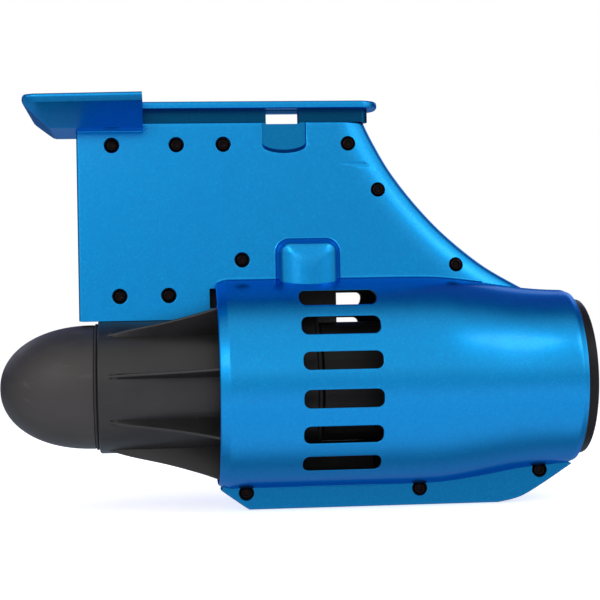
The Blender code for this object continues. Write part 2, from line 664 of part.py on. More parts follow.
def make_propeller(plastic):
    """Bladed hub as wide as the pod, recessed in front for the shaft seal's boss."""
    front, back = DRIVE_HUB_X[0] - BLADE_X, DRIVE_HUB_X[1] - BLADE_X
    recess_r, recess_end, bore = 16.0, front + 10.6, SHAFT_R + GAP
    edge = [(front, recess_r), (front, DRIVE_HUB_R - 0.6), (front + 0.6, DRIVE_HUB_R)]
    side = [*edge, (-8, DRIVE_HUB_R), (6, 32.6), (back, 26.6)]
    inside = [(back, bore), (recess_end, bore), (recess_end, recess_r)]
    propeller = turned("propeller", side + inside, "X", (BLADE_X, 0, AXIS_Z), 32, closed=True)
    sheet = blade_mesh()
    for number in range(BLADES):
        turn = Matrix.Rotation(math.tau * number / BLADES, 3, "X")
        blade = add_object(f"blade_{number + 1}", sheet, placed(turn, (BLADE_X, 0, AXIS_Z)))
        thick = blade.modifiers.new("Thickness", "SOLIDIFY")
        thick.thickness = 2.4 * MM
        thick.offset = 0.0
        join(propeller, blade)
    return finish(propeller, plastic)


def make_outlet(plastic):
    """Stator vanes that straighten the jet, and the nozzle ring behind them."""
    centre = (0, 0, AXIS_Z)
    outer_r = SEAT_R - GAP
    ring = [(SEAT_X + GAP, 44.8), (SEAT_X + GAP, outer_r), (183.7, outer_r), (183.7, 44.8)]
    stator = turned("stator_vanes", ring, "X", centre, 36, closed=True)
    hub = [(135.5, 0), (135.5, 11.5), (146, 10), (170, 8), (183, 4), (186, 0)]
    join(stator, turned("stator_hub", hub, "X", centre, 16))
    for number in range(STATOR_VANES):
        outline = [(147, 7), (152, 44), (172, 46), (182, 46), (180, 4), (150, 4)]
        vane = plate(f"stator_vane_{number + 1}", outline, "Y", -1.1, 1.1)
        turn = Matrix.Rotation(math.tau * number / STATOR_VANES, 3, "X")
        vane.matrix_world = placed(turn @ FRAME_OF["Y"], centre)
        join(stator, vane)
    finish(stator, plastic)
    outside = [(184.0, 44.8), (184.0, outer_r), (195.0, outer_r), (195.5, 46.8)]
    lip = [(195.7, 45.3), (200.0, 44.9), (RING_X, 44.2), (RING_X, 42.0)]
    finish(turned("nozzle_ring", outside + lip, "X", centre, 36, closed=True), plastic)


def make_electronics(green, dark_metal, bright_metal, plastic):
    """Motor controller in the fin's hollow."""
    finish(box("controller_board", (-72, 34), (-0.8, 0.8), (-73.5, -40)), green)
    sink = box("heat_sink", (-30, 6), (-5.6, -1.1), (-72, -46))
    for number in range(5):
        low = -27.0 + 7.0 * number
        cut(sink, box(f"sink_groove_{number + 1}", (low, low + 3.4), (-8, -2.6), (-80, -40)))
    finish(sink, bright_metal)
    can = [(37, 0), (37, 5.0), (37.5, 5.4), (57.5, 5.4), (58, 5.0), (58, 0)]
    finish(turned("capacitor", can, "X", (0, 0, -72.5), 14), dark_metal)
    block = box("terminal_block", (12, 36), (-5.6, -1.1), (-72, -60))
    finish(block, plastic)


def make_wire(name, line, radius, resolution, material):
    """A round wire along a line of points."""
    curve = bpy.data.curves.new(name, "CURVE")
    curve.dimensions = "3D"
    curve.bevel_depth = radius * MM
    curve.bevel_resolution = resolution
    curve.use_fill_caps = True
    spline = curve.splines.new("POLY")
    spline.points.add(len(line) - 1)
    for point, place in zip(spline.points, line, strict=True):
        point.co = (*(Vector(place) * MM), 1.0)
    return finish(curve_to_mesh(name, curve, Matrix.Identity(4)), material)


def make_cables(rubber):
    low = AXIS_Z
    drop = ((-3.2, -72.4), (-2.8, -75), (-1, -79.5), (0, -87), (0, -108))
    motor = [(MOTOR_CABLE_X, across, up) for across, up in (*drop, (0, low + MOTOR_R + 1))]
    make_wire("motor_cable", smooth_line(motor, 2), 1.9, 1, rubber)
    battery = [(BATTERY_CABLE_X, across, up) for across, up in (*drop, (0, low + 22))]
    battery.append((BATTERY_CABLE_X - 2, 0, low + 14))
    make_wire("battery_cable", smooth_line(battery, 2), 1.8, 1, rubber)


def make_controls(plastic, steel, lens, rubber):
    """Power button with its spring, the light, and the charging socket with its flap."""
    place = (BUTTON_X, 0, BUTTON_Z)
    button = [(4.2, 0), (4.2, 7.6), (5.6, 7.6), (5.6, 5.6), (9.3, 5.6), (9.8, 5.1), (9.8, 0)]
    finish(turned("power_button", button, "Y", place, 16), plastic)
    turns, points = 3, 8
    coil = [
        (BUTTON_X + 3.6 * math.cos(a), 1.35 + 1.4 * a / (math.tau * turns), BUTTON_Z + 3.6 * math.sin(a))
        for a in (math.tau * k / points for k in range(turns * points + 1))
    ]
    make_wire("button_spring", coil, 0.22, 0, steel)
    light = [(4.6, 0), (4.6, 3.6), (5.7, 3.6), (5.7, 2.5), (9.0, 2.5), (9.3, 2.0), (9.3, 0)]
    finish(turned("led_lens", light, "Y", (LED_X, 0, BUTTON_Z), 12), lens)
    socket = [(1.2, 0), (1.2, 9.0), (5.7, 9.0), (5.7, 6.7), (8.9, 6.7), (8.9, 4.6), (4.0, 4.6), (4.0, 0)]
    finish(turned("charge_socket", socket, "Y", (CHARGE_X, 0, CHARGE_Z), 18), plastic)
    make_charge_flap(rubber)


def make_charge_flap(rubber):
    """Rubber flap over the charging socket, hinged along its lower edge."""
    hinge_z = CHARGE_Z - 11.0
    outline = [(CHARGE_X - 6, hinge_z), (CHARGE_X - 9.5, CHARGE_Z)]
    outline += [
        (CHARGE_X + 9.5 * math.cos(a), CHARGE_Z + 9.5 * math.sin(a))
        for a in (math.radians(150 - 30 * k) for k in range(5))
    ]
    outline += [(CHARGE_X + 9.5, CHARGE_Z), (CHARGE_X + 6, hinge_z)]
    low = FIN_HALF + GAP
    flap = plate("charge_flap", outline, "Y", low, low + 2.2)
    pivot = Vector((CHARGE_X, low + 1.1, hinge_z)) * MM
    shift = flap.matrix_world.inverted() @ pivot
    flap.data.transform(Matrix.Translation(-shift))
    flap.matrix_world = Matrix.Translation(pivot) @ FRAME_OF["Y"].to_4x4()
    return finish(flap, rubber)


def main():
    blue = make_material("blue_paint", (0.005, 0.21, 0.56), 0.34, 0.75)
    black = make_material("black_plastic", (0.022, 0.020, 0.019), 0.52)
    rubber = make_material("black_rubber", (0.012, 0.012, 0.012), 0.75)
    steel = make_material("black_steel", (0.05, 0.045, 0.04), 0.4, 0.9)
    bright = make_material("aluminium", (0.62, 0.63, 0.65), 0.3, 1.0)
    dark_metal = make_material("dark_metal", (0.1, 0.1, 0.11), 0.35, 0.9)
    copper = make_material("copper", (0.72, 0.30, 0.12), 0.35, 1.0)
    green = make_material("circuit_board", (0.02, 0.16, 0.06), 0.45)
    sleeve = make_material("cell_sleeve", (0.05, 0.22, 0.45), 0.35)
    lens = make_material("light_lens", (0.75, 0.85, 0.95), 0.15)
    make_shell("port_shell", -1, blue)
    make_shell("starboard_shell", 1, blue)
    make_base_rail(blue)
    make_front_wedge(blue)
    make_screws(steel)
    make_pod(black)
    make_nose(black, rubber)
    make_battery(sleeve, black, green)
    make_motor(dark_metal, bright, copper, rubber)
    make_drive(dark_metal, bright, black)
    make_outlet(black)
    make_electronics(green, dark_metal, bright, black)
    make_cables(rubber)
    make_controls(black, steel, lens, rubber)


main()
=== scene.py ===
"""Looks for the powered fin: painted shells, moulded plastics, screws, studio floor, lights and camera.

Lengths below are millimetres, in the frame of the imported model: +X from the nose to the outlet, +Z up and
-Y the port side. A profile is a list of (along, radius) pairs and an outline is a list of corners.
"""

from math import asin, atan2, cos, degrees, hypot, pi, radians, sin, sqrt, tau

import bmesh
import bpy
from mathutils import Matrix, Vector


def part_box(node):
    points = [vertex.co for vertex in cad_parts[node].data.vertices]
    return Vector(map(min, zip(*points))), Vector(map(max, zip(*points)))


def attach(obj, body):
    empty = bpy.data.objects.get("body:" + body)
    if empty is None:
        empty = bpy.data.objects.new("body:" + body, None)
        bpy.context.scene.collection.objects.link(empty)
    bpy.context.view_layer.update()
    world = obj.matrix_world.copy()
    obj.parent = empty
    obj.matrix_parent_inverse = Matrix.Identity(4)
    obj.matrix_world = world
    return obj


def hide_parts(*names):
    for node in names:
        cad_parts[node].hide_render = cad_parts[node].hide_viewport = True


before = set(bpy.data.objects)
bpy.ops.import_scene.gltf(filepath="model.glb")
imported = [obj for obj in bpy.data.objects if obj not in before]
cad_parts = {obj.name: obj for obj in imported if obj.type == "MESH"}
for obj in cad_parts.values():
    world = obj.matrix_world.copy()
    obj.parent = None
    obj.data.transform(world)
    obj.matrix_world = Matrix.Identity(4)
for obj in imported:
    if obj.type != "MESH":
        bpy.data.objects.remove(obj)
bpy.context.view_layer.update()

MM = 0.001
SPLIT = 0.15  # each shell stops this far from the mid-plane
PORT, STARBOARD = -1, 1

nose_low, nose_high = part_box("nose_cap")
rail_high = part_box("base_rail")[1]
shell_low, shell_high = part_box("port_shell")
pod_low, pod_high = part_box("pod_housing")
AXIS_Z = (nose_low.z + nose_high.z) / 2 / MM
AXIS = (0, 0, AXIS_Z)
NOSE_TIP_X = nose_low.x / MM
RAIL_END_X = rail_high.x / MM
RAIL_HALF = rail_high.y / MM
FIN_FRONT_X = shell_low.x / MM
DUCT_END_X = shell_high.x / MM
KEEL_Z = shell_low.z / MM
POD_FRONT_X = pod_low.x / MM
POD_REAR_X = pod_high.x / MM

FIN_HALF = 9.0
FIN_TOP_Z = -11.5
STRUT_REAR_X = 57.8
STRUT_STEP_X = 46.9
STRUT_BORE_R = 35.2
KEEL_HALF = 8.0
DUCT_FRONT_X = -11.5
DUCT_R = 60.0
DUCT_BORE_R = 57.0
SEAT_X = 169.5
SEAT_R = 47.7
WALL = 3.0
POD_R = 38.0
POD_BORE_R = 35.0
NOSE_BACK_X = -80.1
NOSE_R = 35.2
NOSE_NECK_R = 34.3
NOSE_BORE_R = 31.3
SCREW_SEAT = 4.7  # depth of a screw head's underside from the mid-plane
SCREW_HEAD_R = 3.5
SCREW_HEAD = 3.2
SCREW_BORE_R = 4.25
THREAD_R = 1.95
FLARE = 0.5  # how far the mouths of slots and screw holes open out
SLOTS = ((47.8, 8.2), (32.5, 9.6), (13.3, 9.6), (-7.5, 9.9), (-27.3, 9.4), (-43.8, 8.3))  # middle, height
SLOT_X, SLOT_LENGTH, SLOT_CORNER = 55.6, 43.5, 3.6
FIN_EDGE = ((76.5, -11.5), (82, -23), (91.7, -40), (106, -59), (123.4, -77.5), (145.5, -95.6), (169, -109.4))
FIN_SCREWS = (
    (-68.6, -24.0), (-32.0, -24.0), (-5.3, -24.0), (66.7, -24.0), (83.5, -50.8),
    (128.2, -94.7), (4.3, -90.3), (-65.4, -109.9), (-37.7, -109.9),
)
KEEL_SCREWS = ((4.3, -223.1), (104.1, -223.1), (174.5, -214.5))
WINDOW_X = (19.7, 38.7)
WINDOW_Z = -12.3
RECESS_X = (WINDOW_X[0] - 2.6, WINDOW_X[1] + 3.7)
RECESS_Z, RECESS_DROP = -24.8, 4.5  # where the finger recess starts to curve, and how far it curves down
RAIL_THICK, RAIL_WEB_HALF = 4.2, 5.0
TONGUE_X, TONGUE_HALF, TONGUE_LOW_Z = (-82.0, 72.0), 3.0, -29.5
ROOM = 0.3  # clearance round a part that sits in another
SINK = 1.6  # how far the fin and the keel reach into the duct's wall
WEDGE_WIDE = ((-116.2, 38.0), (-115.9, 40.6), (-114.9, 43.3), (-113.0, 45.4), (-109.2, 47.2), (-50.6, 52.6))
WEDGE_LOW = ((-116.2, -3.4), (-115.4, -5.0), (-114.2, -6.2), (-103.2, -15.6), (-101.4, -16.2), (-50.6, -16.2))
WEDGE_TOP = ((-116.2, -1.5), (-115.9, -0.8), (-115.2, -0.25), (-114.0, 0.0), (-50.6, 0.0))
WEDGE_SCREWS = ((-76.0, -8.4), (-76.0, 8.4), (-58.0, -8.4), (-58.0, 8.4))
BOSS_X, BOSS_TOP_Z, BOSS_HALF = 41.9, -78.9, 18.0
NOTCH_LOW, NOTCH_HIGH = (-14.6, -117.5), (-10.9, -106.3)  # corners of the drain notch in the port fin
VANE_ANGLES = (50, 10, -30, -70, -110, -150, 170, 130)


# Meshes


def new_object(name, data):
    thing = bpy.data.objects.new(name, data)
    bpy.context.scene.collection.objects.link(thing)
    return thing


def from_bmesh(name, work):
    """A mesh object with its faces turned outward."""
    bmesh.ops.recalc_face_normals(work, faces=work.faces)
    mesh = bpy.data.meshes.new(name)
    work.to_mesh(mesh)
    work.free()
    return new_object(name, mesh)


def turned(name, profile, axis, centre, steps, closed=False):
    """A profile turned about an axis through centre."""
    along = Vector({"X": (1, 0, 0), "Y": (0, 1, 0), "Z": (0, 0, 1)}[axis])
    side = Vector((0, 0, 1)) if axis != "Z" else Vector((1, 0, 0))
    up = along.cross(side)
    work = bmesh.new()
    rings = []
    for reach, radius in profile:
        middle = Vector(centre) + along * reach
        if radius <= 0:
            rings.append([work.verts.new(middle * MM)])
            continue
        ring = []
        for k in range(steps):
            angle = tau * k / steps
            out = side * cos(angle) + up * sin(angle)
            ring.append(work.verts.new((middle + out * radius) * MM))
        rings.append(ring)
    pairs = list(zip(rings, rings[1:]))
    if closed:
        pairs.append((rings[-1], rings[0]))
    for one, other in pairs:
        for k in range(steps):
            n = k + 1
            corners = [one[k % len(one)], one[n % len(one)], other[n % len(other)], other[k % len(other)]]
            corners = list(dict.fromkeys(corners))
            if len(corners) > 2:
                work.faces.new(corners)
    return from_bmesh(name, work)


def drill(place, axis, radius, low, high, steps):
    """A cutter for a round hole at a place."""
    return turned("hole", [(low, 0), (low, radius), (high, radius), (high, 0)], axis, place, steps)


def loft(name, rings):
    """A closed solid through rings of points, flat at both ends."""
    work = bmesh.new()
    lines = [[work.verts.new(Vector(p) * MM) for p in ring] for ring in rings]
    for one, other in zip(lines, lines[1:]):
        for k in range(len(one)):
            n = (k + 1) % len(one)
            work.faces.new((one[k], one[n], other[n], other[k]))
    work.faces.new(lines[0])
    work.faces.new(lines[-1])
    return from_bmesh(name, work)


def offset(outline, distance):
    """An outline moved inward by a distance, corner by corner. The outline runs either way round."""
    area = sum(x0 * y1 - x1 * y0 for (x0, y0), (x1, y1) in zip(outline, outline[1:] + outline[:1]))
    turn = 1 if area > 0 else -1
    moved = []
    for k, (x, y) in enumerate(outline):
        before = Vector(outline[k - 1])
        after = Vector(outline[(k + 1) % len(outline)])
        here = Vector((x, y))
        a, b = (here - before).normalized(), (after - here).normalized()
        normal_a, normal_b = Vector((-a.y, a.x)) * turn, Vector((-b.y, b.x)) * turn
        middle = (normal_a + normal_b).normalized()
        reach = distance / max(0.5, middle.dot(normal_a))
        moved.append((x + middle.x * reach, y + middle.y * reach))
    return moved


def quarter_round(radius, steps):
    """A rounded edge as (depth, inset) pairs, from the side that it starts on to the face that it ends in."""
    arc = [pi / 2 * k / steps for k in range(steps + 1)]
    return [(radius * (1 - sin(a)), radius * (1 - cos(a))) for a in arc]


def plate(name, outline, plane, low, high, edge=0.0, steps=3):
    """An outline in a plane, thickened from low to high, its long edges rounded by edge."""
    stack = [(low, 0.0), (high, 0.0)]
    if edge:
        bend = quarter_round(edge, steps)
        stack = [(low + depth, inset) for depth, inset in reversed(bend)]
        stack += [(high - depth, inset) for depth, inset in bend]
    rings = []
    for depth, inset in stack:
        flat = offset(outline, inset)
        rings.append([(x, depth, y) if plane == "XZ" else (x, y, depth) for x, y in flat])
    return loft(name, rings)


def box(name, x_range, y_range, z_range):
    (x0, x1), (y0, y1), (z0, z1) = x_range, y_range, z_range
    return loft(name, [[(x0, y0, z), (x1, y0, z), (x1, y1, z), (x0, y1, z)] for z in (z0, z1)])


def settle(thing):
    """Apply a piece's modifiers."""
    bpy.context.view_layer.update()
    graph = bpy.context.evaluated_depsgraph_get()
    thing.data = bpy.data.meshes.new_from_object(thing.evaluated_get(graph))
    thing.modifiers.clear()


def boolean(target, tool, operation="DIFFERENCE"):
    """Cut the tool away from the target, or join it on, and drop the tool."""
    step = target.modifiers.new("Shape", "BOOLEAN")
    step.operation = operation
    step.solver = "EXACT"
    step.object = tool
    settle(target)
    bpy.data.objects.remove(tool)


def merge(name, things):
    """Several objects as one mesh of separate islands."""
    work = bmesh.new()
    for thing in things:
        work.from_mesh(thing.data)
        bpy.data.objects.remove(thing)
    return from_bmesh(name, work)


def smooth_line(points, steps):
    """A Catmull-Rom line through the given points."""
    ends = [points[0], *points, points[-1]]
    line = []
    for i in range(1, len(ends) - 2):
        before, start, end, after = (Vector(ends[k]) for k in (i - 1, i, i + 1, i + 2))
        for step in range(steps):
            t = step / steps
            place = (
                2 * start + (end - before) * t
                + (2 * before - 5 * start + 4 * end - after) * t**2
                + (3 * start - before - 3 * end + after) * t**3
            ) / 2
            line.append(tuple(place))
    line.append(tuple(points[-1]))
    return line


def between(line, x):
    """The height at x of a line of (x, height) points."""
    for (x0, y0), (x1, y1) in zip(line, line[1:]):
        if x0 <= x <= x1:
            return y0 + (y1 - y0) * (x - x0) / max(x1 - x0, 1e-9)
    return line[0][1] if x < line[0][0] else line[-1][1]


def rounded_rectangle(width, height, corner, steps=5):
    """Corners of a rectangle about (0, 0), its own corners rounded."""
    outline = []
    for quarter, (side, up) in enumerate(((1, 1), (-1, 1), (-1, -1), (1, -1))):
        for step in range(steps + 1):
            angle = pi / 2 * (quarter + step / steps)
            across = side * (width / 2 - corner) + corner * cos(angle)
            outline.append((across, up * (height / 2 - corner) + corner * sin(angle)))
    return outline


def unpainted(place):
    """True inside the duct, the drain notch and the screw holes, where the black plastic is bare."""
    skin, reach = 0.6, 40
    radius = hypot(place.y, place.z - AXIS_Z)
    in_duct = DUCT_FRONT_X + 0.5 < place.x < DUCT_END_X - 0.1
    if in_duct and radius < between(DUCT_LINE, place.x) - skin:
        return True
    if abs(place.y) < KEEL_HALF - 0.45 and not KEEL_Z + reach <= place.z <= AXIS_Z + reach:
        for x, z in FIN_SCREWS + KEEL_SCREWS:
            if hypot(place.x - x, place.z - z) < SCREW_BORE_R + 0.15:
                return True
    margin = 0.2
    along = NOTCH_LOW[0] - margin < place.x < NOTCH_HIGH[0] + margin / 2
    upright = NOTCH_LOW[1] - margin < place.z < NOTCH_HIGH[1] + margin
    return along and upright and place.y > margin - FIN_HALF


def bare(mesh, face):
    """True for a face of bare black plastic: its middle is unpainted and it doesn't reach past a rim."""
    centre = face.center / MM
    if not unpainted(centre):
        return False
    for index in face.vertices:
        corner = mesh.vertices[index].co / MM
        radius = hypot(corner.y, corner.z - AXIS_Z)
        if corner.x > DUCT_FRONT_X - 0.4 and radius < between(DUCT_LINE, corner.x) + 0.3:
            continue
        if not unpainted(corner.lerp(centre, 0.02)):
            return False
    return True


def smooth(thing, angle):
    """Smooth shading with sharp edges past an angle, and with large flat faces kept flat."""
    thing.data.shade_smooth()
    thing.data.set_sharp_from_angle(angle=radians(angle))
    step = thing.modifiers.new("Normals", "WEIGHTED_NORMAL")
    step.keep_sharp = True
    step.weight = 60
    settle(thing)


def dress(thing, material, nodes, angle, lining=None, body="hull"):
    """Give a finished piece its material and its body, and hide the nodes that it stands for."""
    thing.data.materials.clear()
    thing.data.materials.append(material)
    if lining:
        thing.data.materials.append(lining)
    for face in thing.data.polygons:
        face.material_index = 1 if lining and bare(thing.data, face) else 0
    smooth(thing, angle)
    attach(thing, body)
    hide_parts(*nodes)
    return thing


def refinish(thing, material, chosen):
    """Give the faces whose middle is in a chosen place another material."""
    thing.data.materials.append(material)
    last = len(thing.data.materials) - 1
    for face in thing.data.polygons:
        if chosen(face.center / MM):
            face.material_index = last


def in_recess(place):
    """True in the finger recess, which gets the darker copy of the paint as painted shade."""
    if place.z <= RECESS_Z - RECESS_DROP - 0.9 or abs(place.y) >= FIN_HALF - 0.3:
        return False
    return RECESS_X[0] - 0.8 < place.x < RECESS_X[1] + 0.8


# Materials

RANGE_SOCKETS = ("From Min", "From Max", "To Min", "To Max")


def fill(node, *pairs):
    """Set a node's sockets from (socket, value) pairs."""
    for socket, value in pairs:
        node.inputs[socket].default_value = value


def node_material(name):
    material = bpy.data.materials.new(name)
    material.use_nodes = True
    return material


def grey(value):
    return (value, value, value)


class Shade:
    """A Principled material with helpers for its texture nodes."""

    def __init__(self, name, colour, roughness, metallic=0.0):
        self.material = node_material(name)
        self.tree = self.material.node_tree
        self.shader = self.tree.nodes["Principled BSDF"]
        fill(self.shader, ("Base Color", (*colour, 1.0)), ("Roughness", roughness), ("Metallic", metallic))
        self.place = self.tree.nodes.new("ShaderNodeTexCoord").outputs["Object"]
        self.material.diffuse_color = (*colour, 1.0)
        self.normal = None

    def add(self, kind, links=(), **settings):
        node = self.tree.nodes.new("ShaderNode" + kind)
        for key, value in settings.items():
            if key in node.bl_rna.properties:
                setattr(node, key, value)
            else:
                node.inputs[key.replace("_", " ").title()].default_value = value
        for socket, output in dict(links).items():
            self.tree.links.new(output, node.inputs[socket])
        return node

    def noise(self, scale, detail=3.0, roughness=0.55, stretch=None):
        place = self.place
        if stretch:
            place = self.add("Mapping", {"Vector": place}, Scale=stretch).outputs[0]
        settings = {"Scale": scale, "Detail": detail, "Roughness": roughness}
        return self.add("TexNoise", {"Vector": place}, **settings).outputs["Fac"]

    def spread(self, value, low, high, out_low, out_high):
        node = self.add("MapRange", {"Value": value})
        fill(node, *zip(RANGE_SOCKETS, (low, high, out_low, out_high)))
        return node.outputs[0]

    def ramp(self, value, stops):
        node = self.add("ValToRGB", {"Fac": value})
        elements = node.color_ramp.elements
        while len(elements) < len(stops):
            elements.new(0.5)
        for element, (place, colour) in zip(elements, stops):
            element.position = place
            element.color = (*colour, 1.0)
        return node.outputs["Color"]

    def mix(self, factor, one, other):
        node = self.add("Mix", data_type="RGBA")
        for socket, source in ((0, factor), (6, one), (7, other)):
            if isinstance(source, bpy.types.NodeSocket):
                self.tree.links.new(source, node.inputs[socket])
            else:
                node.inputs[socket].default_value = source if socket == 0 else (*source, 1.0)
        return node.outputs[2]

    def bump(self, height, strength, distance):
        links = {"Height": height}
        if self.normal:
            links["Normal"] = self.normal
        self.normal = self.add("Bump", links, Strength=strength, Distance=distance).outputs[0]
        self.tree.links.new(self.normal, self.shader.inputs["Normal"])

    def set(self, socket, value):
        self.tree.links.new(value, self.shader.inputs[socket])

    def rough(self, value, low, high):
        """Roughness that varies between two values."""
        self.set("Roughness", self.spread(value, 0.3, 0.7, low, high))

    def tint(self, value, *stops):
        self.set("Base Color", self.ramp(value, stops))


def blue_paint(name="blue_paint", strength=1.0):
    """Satin metallic paint: flakes, faint orange peel and a thin coat. A strength below one darkens it, for
    painted shade.
    """
    shade = Shade(name, (0.0, 0.24, 0.60), 0.33, 1.0)
    fill(shade.shader, ("Specular Tint", (0.1, 0.5, 0.9, 1.0)))
    fill(shade.shader, ("Coat Weight", 0.25 * strength), ("Coat Roughness", 0.14))
    cells = shade.add("TexVoronoi", {"Vector": shade.place}, Scale=1500.0)
    flake = shade.add("SeparateColor", {"Color": cells.outputs["Color"]})
    clouds = shade.noise(24.0, 2.0)
    tones = ((0.0, (0.0, 0.222, 0.54)), (0.8, (0.0, 0.252, 0.585)), (1.0, (0.0, 0.29, 0.64)))
    deep = shade.ramp(flake.outputs[0], [(stop, tuple(c * strength for c in tone)) for stop, tone in tones])
    cloudy = tuple(c * strength for c in (0.0, 0.232, 0.56))
    shaded = shade.mix(shade.spread(clouds, 0.3, 0.7, 0.0, 0.35), deep, cloudy)
    shade.set("Base Color", shaded)
    shade.rough(shade.noise(90.0, 4.0), 0.30, 0.35)
    shade.bump(flake.outputs[1], 0.05, 0.00005)
    shade.bump(shade.noise(330.0, 2.0), 0.03, 0.0002)
    return shade.material


def plastic(name, dark, light, rough, grain, scuffs, gloss=0.5):
    """Moulded plastic: mottled black, fine spark-eroded grain, faint scuffs and paler edges."""
    shade = Shade(name, dark, sum(rough) / 2)
    shade.shader.inputs["Specular IOR Level"].default_value = gloss
    mottled = shade.ramp(shade.noise(55.0, 6.0, 0.65), ((0.3, dark), (0.75, light)))
    scratch = shade.noise(240.0, 5.0, 0.7, (0.12, 1.0, 1.0))
    scratched = shade.spread(scratch, 0.60, 0.72, 0.0, scuffs)
    pale = tuple(min(1.0, c * 2.6 + 0.01) for c in light)
    shaded = shade.mix(scratched, mottled, pale)
    point = shade.add("NewGeometry").outputs["Pointiness"]
    edges = shade.spread(point, 0.53, 0.64, 0.0, 1.0)
    wear = shade.add("Math", {0: edges}, operation="MULTIPLY")
    wear.inputs[1].default_value = 0.6
    shade.set("Base Color", shade.mix(wear.outputs[0], shaded, pale))
    shade.rough(shade.noise(110.0, 5.0), *rough)
    shade.bump(shade.noise(2600.0, 2.0), grain, 0.00015)
    shade.bump(scratch, 0.06, 0.0002)
    return shade.material


def rubber(name, colour):
    shade = Shade(name, colour, 0.72)
    pale = tuple(c * 2.2 for c in colour)
    shade.tint(shade.noise(300.0, 5.0), (0.35, colour), (0.8, pale))
    shade.rough(shade.noise(150.0), 0.62, 0.82)
    shade.bump(shade.noise(1900.0), 0.25, 0.0001)
    return shade.material


def metal(name, dark, light, rough, brushed=(1.0, 14.0, 14.0)):
    """Brushed or turned metal with fine lines and small stains."""
    shade = Shade(name, light, sum(rough) / 2, 1.0)
    lines = shade.noise(420.0, 4.0, 0.6, brushed)
    shade.tint(lines, (0.25, dark), (0.7, light))
    shade.rough(shade.noise(160.0, 4.0), *rough)
    shade.bump(lines, 0.08, 0.0001)
    return shade.material


def circuit_board():
    """Green solder mask over faint copper tracks."""
    shade = Shade("circuit_board", (0.01, 0.12, 0.04), 0.38)
    tracks = shade.add("TexBrick", {"Vector": shade.place}, Scale=170.0)
    fill(tracks, ("Color1", (0.01, 0.11, 0.04, 1.0)), ("Color2", (0.015, 0.14, 0.05, 1.0)))
    fill(tracks, ("Mortar", (0.06, 0.28, 0.10, 1.0)))
    shade.set("Base Color", tracks.outputs["Color"])
    shade.rough(shade.noise(300.0), 0.3, 0.45)
    shade.bump(tracks.outputs["Fac"], 0.2, 0.00008)
    return shade.material


def winding():
    """Enamelled copper wire, wound tight."""
    shade = Shade("copper_winding", (0.60, 0.24, 0.09), 0.3, 1.0)
    wave = shade.add("TexWave", {"Vector": shade.place}, Scale=520.0, Distortion=1.5)
    shade.tint(wave.outputs["Fac"], (0.0, (0.22, 0.07, 0.02)), (0.8, (0.72, 0.31, 0.12)))
    shade.rough(shade.noise(200.0), 0.24, 0.38)
    shade.bump(wave.outputs["Fac"], 0.5, 0.0003)
    return shade.material


def sleeve():
    """Shrink sleeve over a battery cell, with faint wrinkles."""
    shade = Shade("cell_sleeve", (0.03, 0.17, 0.38), 0.3)
    wrinkles = shade.noise(130.0, 4.0, 0.5, (1.0, 3.0, 3.0))
    shade.tint(wrinkles, (0.3, (0.02, 0.13, 0.32)), (0.8, (0.05, 0.22, 0.46)))
    shade.rough(wrinkles, 0.25, 0.4)
    shade.bump(wrinkles, 0.2, 0.0003)
    return shade.material


def lens():
    """Frosted clear plastic over the light."""
    shade = Shade("light_lens", (0.80, 0.88, 0.95), 0.25)
    shade.shader.inputs["Transmission Weight"].default_value = 0.35
    haze = shade.noise(500.0)
    shade.tint(haze, (0.3, (0.70, 0.80, 0.90)), (0.7, (0.88, 0.93, 0.97)))
    shade.rough(haze, 0.2, 0.35)
    shade.bump(haze, 0.1, 0.0001)
    return shade.material


BLUE = blue_paint()
# Darker copy of the paint for painted shade in the groove under the rail's top.
GROOVE_SHADE_BLUE = blue_paint("groove_shade_paint", 0.22)
# Darker copy of the paint for painted shade on the keel and in the finger recess.
SHADE_BLUE = blue_paint("shade_blue_paint", 0.65)
LINING = plastic("shell_lining", grey(0.003), (0.006, 0.0057, 0.0055), (0.45, 0.6), 0.2, 0.0, 0.25)
POD_BLACK = plastic(
    "pod_plastic", (0.008, 0.0073, 0.0074), (0.0145, 0.0132, 0.0134), (0.36, 0.48), 0.05, 0.3, 0.42
)
NOSE_BLACK = plastic(
    "nose_plastic", (0.017, 0.0145, 0.013), (0.027, 0.0235, 0.021), (0.46, 0.58), 0.12, 0.35
)
RING_BLACK = plastic(
    "ring_plastic", (0.004, 0.0035, 0.004), (0.007, 0.0062, 0.0068), (0.36, 0.48), 0.05, 0.2, 0.15
)
RUBBER = rubber("seal_rubber", (0.009, 0.009, 0.0095))
CABLE = rubber("cable_sheath", (0.013, 0.013, 0.014))
INNER_BLACK = plastic("inner_plastic", grey(0.004), grey(0.008), (0.42, 0.58), 0.1, 0.1, 0.3)
STEEL = metal("screw_steel", (0.003, 0.002, 0.002), (0.014, 0.009, 0.009), (0.2, 0.32), (6.0, 6.0, 6.0))
SPRING_STEEL = metal("spring_steel", (0.28, 0.28, 0.29), (0.50, 0.50, 0.52), (0.25, 0.35))
BRIGHT = metal("aluminium", (0.50, 0.51, 0.53), (0.74, 0.75, 0.77), (0.24, 0.36))
DARK_METAL = metal("dark_metal", (0.06, 0.06, 0.065), (0.15, 0.15, 0.16), (0.3, 0.42))


# Shells


def duct_line():
    """The duct's outer side as (along, radius) pairs, its front rim chamfered and its rear end rounded."""
    rim = [(0.0, 2.7), (0.15, 2.3), (0.5, 2.0), (1.0, 1.78), (5.2, 0.16), (5.6, 0.04), (6.3, 0.0)]
    front = [(DUCT_FRONT_X + along, DUCT_R - drop) for along, drop in rim]
    taper = smooth_line([(98, DUCT_R), (118, 59.4), (140, 56.6), (162, 53.0), (177, 51.3), (188, 50.7)], 5)
    end = [(190.2, 50.6), (191.3, 50.3), (192.2, 49.8), (DUCT_END_X, 49.2)]
    return front + [(x, DUCT_R) for x in range(4, 98, 8)] + taper + end


DUCT_LINE = duct_line()


